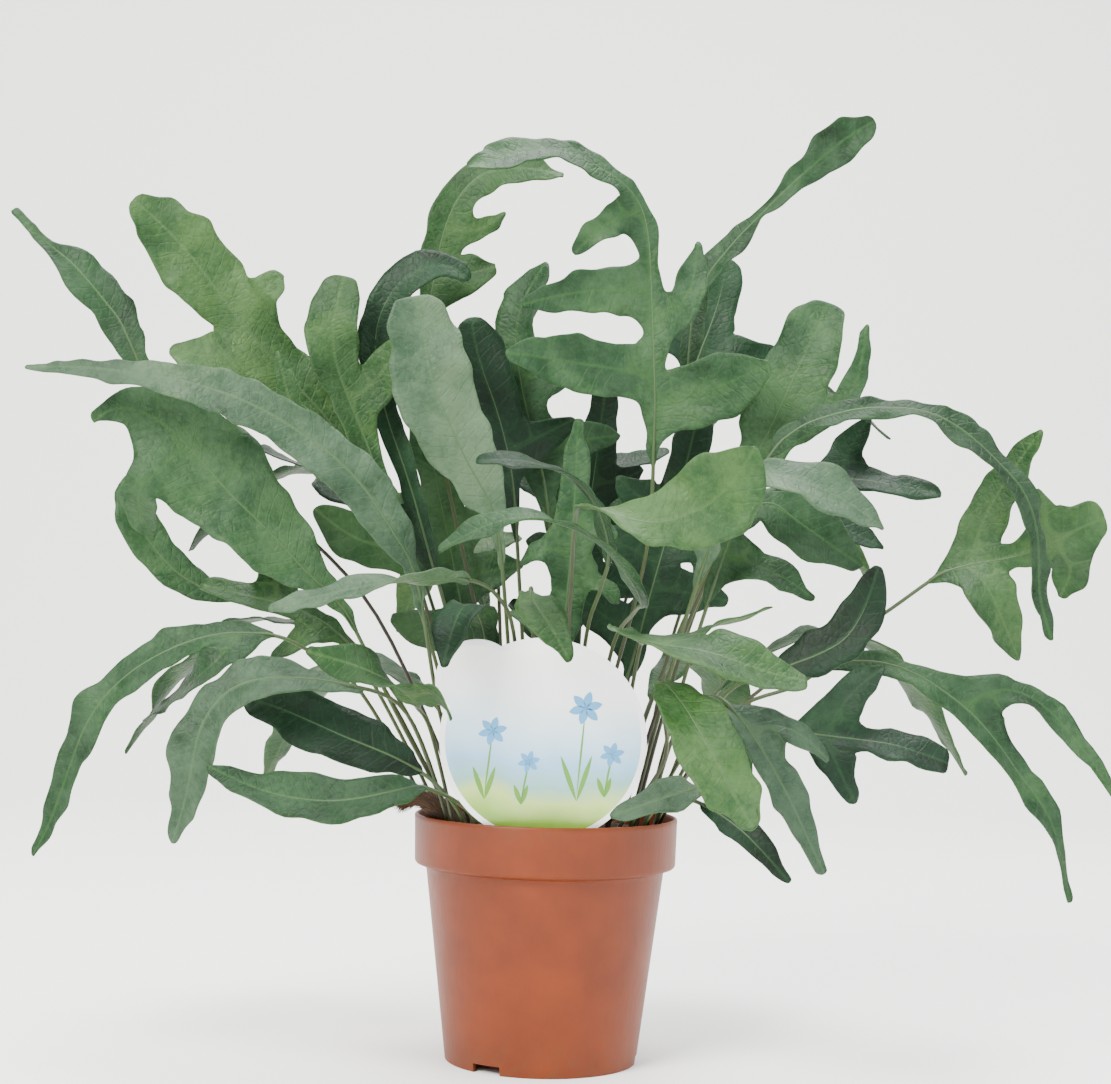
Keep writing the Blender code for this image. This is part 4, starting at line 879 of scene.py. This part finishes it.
def arching_frond(name, tone, root, azimuth, reach, crest, tip, half, pairs=0):
    """A frond that rises, arches outward along an azimuth in degrees and droops to its tip."""
    turn = math.radians(azimuth)
    out, up = Vector((math.cos(turn), math.sin(turn), 0)), Vector((0, 0, 1))
    rise = crest - SOIL_TOP
    heights = [(0.10, SOIL_TOP + 0.50 * rise), (0.24, SOIL_TOP + 0.80 * rise), (0.42, crest - 0.05 * rise),
               (0.60, crest), (0.82, crest - 0.40 * (crest - tip)), (1.0, tip)]
    spots = [Vector((*root, 0)) + out * (share * reach) + up * z for share, z in heights]
    middle = 5.0 if pairs else half
    blade = [(*spot, width) for spot, width in zip(spots[1:], [4.0, middle, middle, half, 2.0])]
    facing = [0.8 * up - out, up, up + out]
    lobes = even_lobes(blade, facing, pairs, 0.34 * reach)
    build_frond(name, tone, root, [tuple(spots[0])], blade, facing, lobes)


# Fronds that make the upper outline
frond("frond_top_arch", "blue", (13, -8), [(28, -14, 170), (42, -22, 232)],
      [(44, -28, 285, 4), (43, -30, 318, 5), (41, -31, 350, 5), (39, -34, 372, 5), (32, -38, 390, 4),
       (12, -47, 402, 8), (-5, -55, 405, 9), (-20, -64, 401, 10), (-32, -72, 395, 8), (-40, -80, 391, 2)],
      "front > front > front up > up front",
      [(0.02, RIGHT, 93, -52, 314, 15.5), (0.08, LEFT, -23, -46, 317, 13), (0.18, RIGHT, 62, -24, 372, 8),
       (0.26, LEFT, -16, -48, 338, 10), (0.44, LEFT, 6, -42, 362, 7)])
frond("frond_top_left", "fresh", (-14, 18), [(-32, 20, 190), (-52, 24, 270)],
      [(-61, 24, 325, 5), (-58, 22, 366, 8), (-51, 20, 392, 9), (-38, 18, 408, 10), (-20, 14, 411, 9),
       (1, 8, 406, 2)],
      "front > front > front up",
      [(0.15, RIGHT, -30, 16, 364, 9.5), (0.38, RIGHT, -26, 20, 391, 4.5)])
frond("frond_top_right", "blue", (22, 12), [(42, 28, 200), (60, 34, 280)],
      [(62, 36, 320, 4), (66, 37, 356, 6.5), (82, 37, 381, 6.5), (93, 36, 393, 4), (107, 35, 408, 3),
       (122, 34, 422, 9), (136, 32, 434, 10), (148, 30, 441, 3)],
      "front > left front > front up > front > front")
frond("frond_back_right_lobed", "dark", (10, 35), [(36, 62, 210), (60, 82, 290)],
      [(68, 88, 325, 6.5), (76, 92, 348, 10), (82, 94, 368, 11), (84, 95, 384, 5)],
      "front > front up", [(0.05, RIGHT, 112, 88, 334, 10), (0.1, LEFT, 42, 82, 336, 10)])
frond("frond_upper_left", "fresh", (-24, 13), [(-50, 14, 180), (-72, 14, 240)],
      [(-101, 12, 283, 8), (-124, 10, 309, 13.5), (-146, 8, 333, 12.5), (-169, 6, 362, 17),
       (-184, 4, 378, 14.5), (-198, 2, 389, 3)],
      "front up > front > front",
      [(0.30, LEFT, -180, 10, 322, 12), (0.42, RIGHT, -128, 6, 356, 8.5)])
frond("frond_far_left", "blue", (-35, 4), [(-80, 0, 200), (-131, -2, 252), (-166, -2, 287)],
      [(-191, -2, 311, 4), (-199, -2, 329, 9), (-213, -2, 346, 10), (-225, -1, 359, 8.5),
       (-238, 0, 369, 2.5), (-253, 0, 383, 2)], "front > front up")

# Fronds of the middle
frond("frond_broad_grey", "grey", (-14, -4), [(-18, -28, 180)],
      [(-24, -38, 236, 3), (-30, -40, 254, 9), (-39, -41, 270, 13.5), (-48, -42, 288, 17),
       (-56, -42, 308, 17.5), (-60, -40, 328, 15.5), (-64, -38, 342, 10)], "front > front > front up")
frond("frond_middle_dark", "dark", (-6, 6), [(-12, -2, 180)],
      [(-18, -8, 253, 3), (-22, -9, 276, 9), (-29, -10, 299, 12.5), (-37, -10, 322, 12.5),
       (-40, -10, 337, 5)],
      "front right > front",
      [(0.0, LEFT, -54, -8, 268, 9), (0.2, RIGHT, 8, -12, 292, 9)])
frond("frond_behind_arch", "blue", (4, 14), [(2, 8, 190)],
      [(-3, 6, 253, 3), (-8, 6, 276, 10), (-15, 6, 304, 11), (-20, 7, 332, 11), (-14, 8, 352, 10),
       (-6, 8, 366, 2)],
      "front > front left",
      [(0.1, RIGHT, 30, 8, 286, 9), (0.35, RIGHT, 24, 10, 326, 8)])
frond("frond_left_curl", "dark", (-25, 4), [(-42, 2, 180)],
      [(-56, 1, 228, 4), (-68, 0, 266, 5), (-79, 0, 296, 6.5), (-84, -1, 324, 8.5), (-80, -2, 343, 9),
       (-69, -3, 357, 10), (-54, -4, 363, 8), (-41, -5, 355, 2)], "front left > front > front up",
      [(0.0, LEFT, -98, 6, 266, 11)])
frond("frond_left_cupped", "fresh", (-31, -5), [(-52, -8, 180)],
      [(-66, -11, 222, 4), (-77, -14, 256, 5), (-87, -16, 282, 6.5), (-97, -18, 305, 9),
       (-102, -20, 323, 11), (-100, -20, 339, 12.5), (-97, -18, 353, 8)], "front > front up",
      [(0.0, LEFT, -108, -17, 248, 12), (0.27, LEFT, -126, -24, 318, 8.5),
       (0.50, RIGHT, -70, -24, 326, 9.5)])

# Left side
frond("frond_long_ribbon", "grey", (-33, -29), [(-48, -45, 160)],
      [(-58, -58, 214, 3), (-69, -68, 237, 9), (-86, -72, 260, 11), (-112, -74, 280, 10.5),
       (-140, -72, 293, 9.5), (-168, -68, 300, 7.5), (-205, -60, 304, 4), (-232, -52, 305, 2)],
      "front up > front > front up")
frond("frond_big_left", "blue", (-41, -7), [(-70, -22, 160)],
      [(-92, -34, 203, 3), (-105, -38, 215, 9), (-120, -40, 231, 15.5), (-140, -42, 250, 21.5),
       (-158, -44, 269, 21.5), (-174, -44, 284, 15.5), (-192, -44, 290, 8), (-203, -44, 282, 2)],
      "front up > front > front",
      [(0.62, LEFT, -178, -28, 232, 8.5)])
frond("frond_left_middle", "blue", (-43, 13), [(-90, 15, 185), (-130, 13, 205)],
      [(-150, 11, 207, 3), (-170, 9, 215, 8), (-187, 7, 232, 10), (-196, 5, 251, 9), (-193, 3, 266, 3)],
      "front > front up")
frond("frond_left_lobed", "fresh", (-47, 3), [(-75, -4, 160)],
      [(-96, -8, 191, 4), (-119, -10, 203, 5), (-140, -11, 208, 8), (-159, -12, 212, 3)], "front up",
      [(0.05, LEFT, -128, -9, 177, 8.5), (0.30, RIGHT, -132, -16, 236, 8.5)])
frond("frond_pale_left", "grey", (-10, -36), [(-15, -50, 188), (-24, -70, 211)],
      [(-38, -98, 217, 4), (-50, -106, 215, 9), (-73, -110, 213, 9), (-93, -112, 208, 6.5),
       (-115, -114, 202, 2)],
      "back up > up > front up > front up")
frond("frond_low_left_arch", "blue", (-50, -8), [(-84, -20, 165), (-110, -27, 185)],
      [(-129, -29, 191, 5), (-151, -30, 189, 9), (-172, -30, 181, 10), (-190, -30, 169, 10),
       (-204, -30, 151, 9), (-212, -30, 128, 8), (-219, -30, 106, 5), (-227, -30, 90, 2)],
      "front up > front up > front left",
      [(0.0, LEFT, -184, -8, 150, 8.5)])
frond("frond_grey_hanging", "grey", (-42, -30), [(-62, -46, 158)],
      [(-88, -70, 171, 4), (-112, -78, 173, 10), (-133, -80, 169, 11), (-145, -80, 155, 11),
       (-149, -80, 134, 10.5), (-153, -80, 117, 8), (-157, -80, 103, 2)],
      "front up > front up > front left")
frond("frond_dark_left", "dark", (-34, -40), [(-40, -44, 118), (-48, -53, 128)],
      [(-57, -58, 135, 4), (-72, -60, 142, 10), (-93, -61, 150, 13.5), (-114, -60, 159, 10),
       (-133, -58, 165, 2)],
      "front up > front")
frond("frond_lowest_left", "blue", (-27, -45), [(-33, -47, 115), (-40, -50, 121), (-46, -61, 125)],
      [(-54, -80, 129, 4), (-66, -94, 127, 10), (-85, -98, 124, 12), (-106, -98, 124, 11),
       (-123, -98, 129, 8), (-140, -98, 137, 2)], "up front > front up")
frond("frond_left_of_label", "fresh", (-40, -36), [(-51, -47, 150), (-56, -72, 162)],
      [(-54, -98, 164, 4), (-62, -114, 172, 9), (-80, -122, 181, 9), (-98, -126, 186, 2)],
      "back up > up front > front",
      [(0.0, LEFT, -39, -128, 160, 7)])

# Front, over the label
frond("frond_dark_arch", "dark", (10, -24), [(15, -42, 188), (21, -62, 214)],
      [(24, -78, 228, 3), (21, -90, 242, 6.5), (12, -92, 257, 8.5), (-5, -92, 265, 8.5),
       (-20, -91, 267, 6), (-33, -90, 266, 2)], "back right up > right up > up front")
frond("frond_front_arch", "blue", (17, -36), [(26, -48, 184), (35, -88, 205)],
      [(37, -116, 208, 4), (31, -134, 218, 6.5), (18, -140, 232, 6.5), (2, -142, 239, 6.5),
       (-16, -142, 241, 7.5), (-32, -140, 235, 6), (-45, -138, 227, 2)],
      "back right up > right up > up front")
frond("frond_front_folded", "fresh", (6, -31), [(8, -56, 203), (9, -112, 240)],
      [(11, -148, 246, 4), (20, -160, 243, 8), (37, -166, 239, 11), (53, -166, 243, 17),
       (65, -164, 251, 19), (73, -161, 262, 9), (77, -159, 270, 2)], "back up > front up > front > front")
frond("frond_over_label", "fresh", (-4, -35), [(-8, -58, 204)],
      [(-9, -82, 211, 4), (-7, -98, 208, 8), (0, -110, 198, 9), (8, -116, 184, 2)],
      "back up > up > front")
frond("frond_front_right", "fresh", (26, -36), [(38, -52, 184), (38, -88, 192)],
      [(26, -120, 198, 4), (35, -142, 193, 10), (57, -156, 191, 13.5), (79, -158, 184, 12),
       (100, -156, 180, 4)],
      "back up > up > front up > front up", [(0.30, LEFT, 88, -134, 208, 8.5)])
frond("frond_green_front", "fresh", (29, -42), [(50, -58, 140), (47, -100, 166)],
      [(45, -140, 178, 4), (53, -160, 168, 11), (62, -170, 153, 12.5), (71, -176, 137, 10),
       (78, -183, 125, 3)],
      "up front > front")

# Right side
frond("frond_cut_right", "blue", (28, -2), [(56, -6, 190)],
      [(84, -20, 254, 4), (89, -22, 272, 10), (97, -23, 290, 14.5), (106, -24, 311, 15.5),
       (115, -24, 330, 14.5), (121, -22, 346, 9)], "front > front up", [(0.42, RIGHT, 138, -30, 336, 6)])
frond("frond_pale_right", "grey", (37, -19), [(54, -48, 184)],
      [(65, -66, 226, 4), (75, -83, 254, 5), (83, -90, 264, 6.5), (98, -94, 262, 12.5),
       (114, -95, 256, 12.5), (128, -94, 249, 8.5), (138, -92, 242, 2)], "front up > up front",
      [(0.0, LEFT, 34, -72, 238, 8)])
frond("frond_right_middle", "blue", (44, -8), [(60, -30, 176)],
      [(72, -44, 220, 4), (81, -54, 246, 5), (92, -58, 254, 9), (106, -60, 245, 13.5),
       (121, -60, 235, 10), (134, -58, 227, 2)],
      "front up > front",
      [(0.0, RIGHT, 114, -54, 212, 10), (0.12, LEFT, 62, -48, 262, 8)])
frond("frond_right_lobed", "dark", (40, 4), [(66, 4, 205)],
      [(92, 4, 250, 4), (112, 4, 262, 6.5), (132, 5, 268, 6.5), (155, 4, 266, 8), (178, 2, 262, 2)],
      "front up",
      [(0.12, RIGHT, 150, -12, 236, 10.5), (0.42, LEFT, 146, 12, 298, 8.5)])
frond("frond_right_ribbon", "blue", (33, -10), [(58, -20, 190), (82, -36, 250)],
      [(100, -42, 282, 5), (119, -46, 292, 7.5), (136, -48, 296, 6), (158, -50, 296, 6.5),
       (175, -52, 289, 7.5), (192, -54, 274, 6.5), (205, -55, 259, 6), (211, -55, 239, 5),
       (211, -55, 217, 4.5), (217, -55, 197, 2)],
      "front up > front up > right front > front")
frond("frond_far_right", "fresh", (49, 9), [(88, 2, 162), (122, -2, 187), (151, -4, 206)],
      [(180, -6, 227, 4), (198, -7, 231, 5), (214, -8, 235, 6.5), (230, -9, 242, 10),
       (241, -9, 249, 12.5), (251, -9, 253, 8)], "front up > front",
      [(0.0, LEFT, 222, -8, 292, 10.5), (0.0, RIGHT, 212, -14, 187, 13), (0.45, LEFT, 217, -14, 264, 7),
       (0.45, RIGHT, 230, -14, 216, 8.5)])
frond("frond_low_right_arch", "blue", (50, -3), [(78, -30, 158), (108, -42, 174)],
      [(126, -48, 185, 4), (153, -50, 183, 6.5), (182, -51, 166, 8), (204, -52, 139, 8),
       (219, -53, 118, 6), (227, -54, 84, 2)], "front up > front right", [(0.34, LEFT, 250, -46, 126, 7)])
frond("frond_right_hanging", "dark", (42, -14), [(74, -44, 166)],
      [(94, -60, 179, 4), (107, -64, 185, 9), (124, -66, 193, 11), (134, -66, 208, 10),
       (140, -64, 227, 3)],
      "front up > front")
frond("frond_right_low_lobed", "dark", (47, -20), [(72, -64, 160), (90, -78, 158)],
      [(105, -84, 156, 4), (126, -86, 154, 5), (148, -86, 151, 11), (168, -84, 144, 6.5)], "front up",
      [(0.0, LEFT, 142, -76, 184, 8.5), (0.0, RIGHT, 128, -96, 128, 7)])
frond("frond_twisted_right", "grey", (44, -25), [(55, -62, 155), (64, -100, 170)],
      [(74, -120, 167, 4), (90, -124, 144, 8), (102, -126, 121, 8), (112, -126, 102, 2)],
      "up front > front right", [(0.0, LEFT, 114, -112, 146, 7)])
frond("frond_rim_right", "grey", (36, -38), [(39, -42, 115), (44, -47, 122), (57, -56, 129)],
      [(66, -68, 131, 4), (60, -80, 130, 9), (44, -84, 125, 9), (27, -84, 119, 2)], "front up > up front")
frond("frond_below_rim", "dark", (42, -33), [(45, -36, 114), (51, -41, 121), (61, -53, 124)],
      [(68, -72, 123, 3), (79, -86, 117, 6.5), (90, -93, 107, 6), (101, -98, 95, 2)], "up front > front")

# Back: root, azimuth, reach, height of the crest and of the tip, half width, pairs of lobes
arching_frond("frond_back_right_low", "blue", (50, 15), 20, 165, 196, 128, 12)
arching_frond("frond_back_right_side", "fresh", (43, 31), 36, 150, 262, 222, 10, 2)
arching_frond("frond_back_right_tall", "grey", (30, 46), -4, 130, 318, 290, 10, 2)
arching_frond("frond_back_right_drooping", "blue", (36, 38), 62, 150, 186, 112, 13)
arching_frond("frond_back_middle", "dark", (12, 44), 82, 138, 288, 240, 10, 2)
arching_frond("frond_back_middle_low", "blue", (4, 51), 95, 130, 172, 108, 12)
arching_frond("frond_back_left_tall", "blue", (-20, 36), 120, 116, 334, 300, 10, 2)
arching_frond("frond_back_left_lobed", "fresh", (-20, 46), 116, 140, 240, 190, 10, 2)
arching_frond("frond_back_left_low", "grey", (-31, 41), 136, 165, 176, 110, 13)
arching_frond("frond_back_left_middle", "dark", (-36, 32), 154, 165, 272, 230, 10, 2)
arching_frond("frond_back_left_side", "blue", (-47, 20), 168, 160, 196, 130, 12)

# Inside
full_frond("frond_inner_left", "blue", (-26, 27), [(-32, 31, 150)],
           [(-38, 36, 182, 4), (-46, 39, 220, 7), (-55, 41, 258, 8), (-62, 42, 292, 9), (-66, 42, 320, 3)],
           "front", 3, 40)
full_frond("frond_inner_back", "dark", (-2, 36), [(2, 40, 150)],
           [(8, 46, 182, 4), (13, 50, 222, 7), (18, 53, 262, 8), (22, 54, 298, 8), (25, 55, 328, 3)],
           "front", 3, 36)
full_frond("frond_inner_right", "dark", (18, 2), [(28, 5, 150)],
           [(38, 9, 182, 4), (47, 11, 218, 7), (57, 13, 256, 8), (65, 13, 292, 8), (70, 13, 320, 3)],
           "front", 3, 44)
full_frond("frond_inner_front", "blue", (1, -14), [(3, -18, 150)],
           [(5, -23, 184, 4), (7, -28, 212, 7), (9, -33, 250, 8), (10, -35, 290, 3)], "front up", 2, 30)
arching_frond("frond_inner_front_left", "dark", (-22, -28), 250, 66, 208, 180, 9)
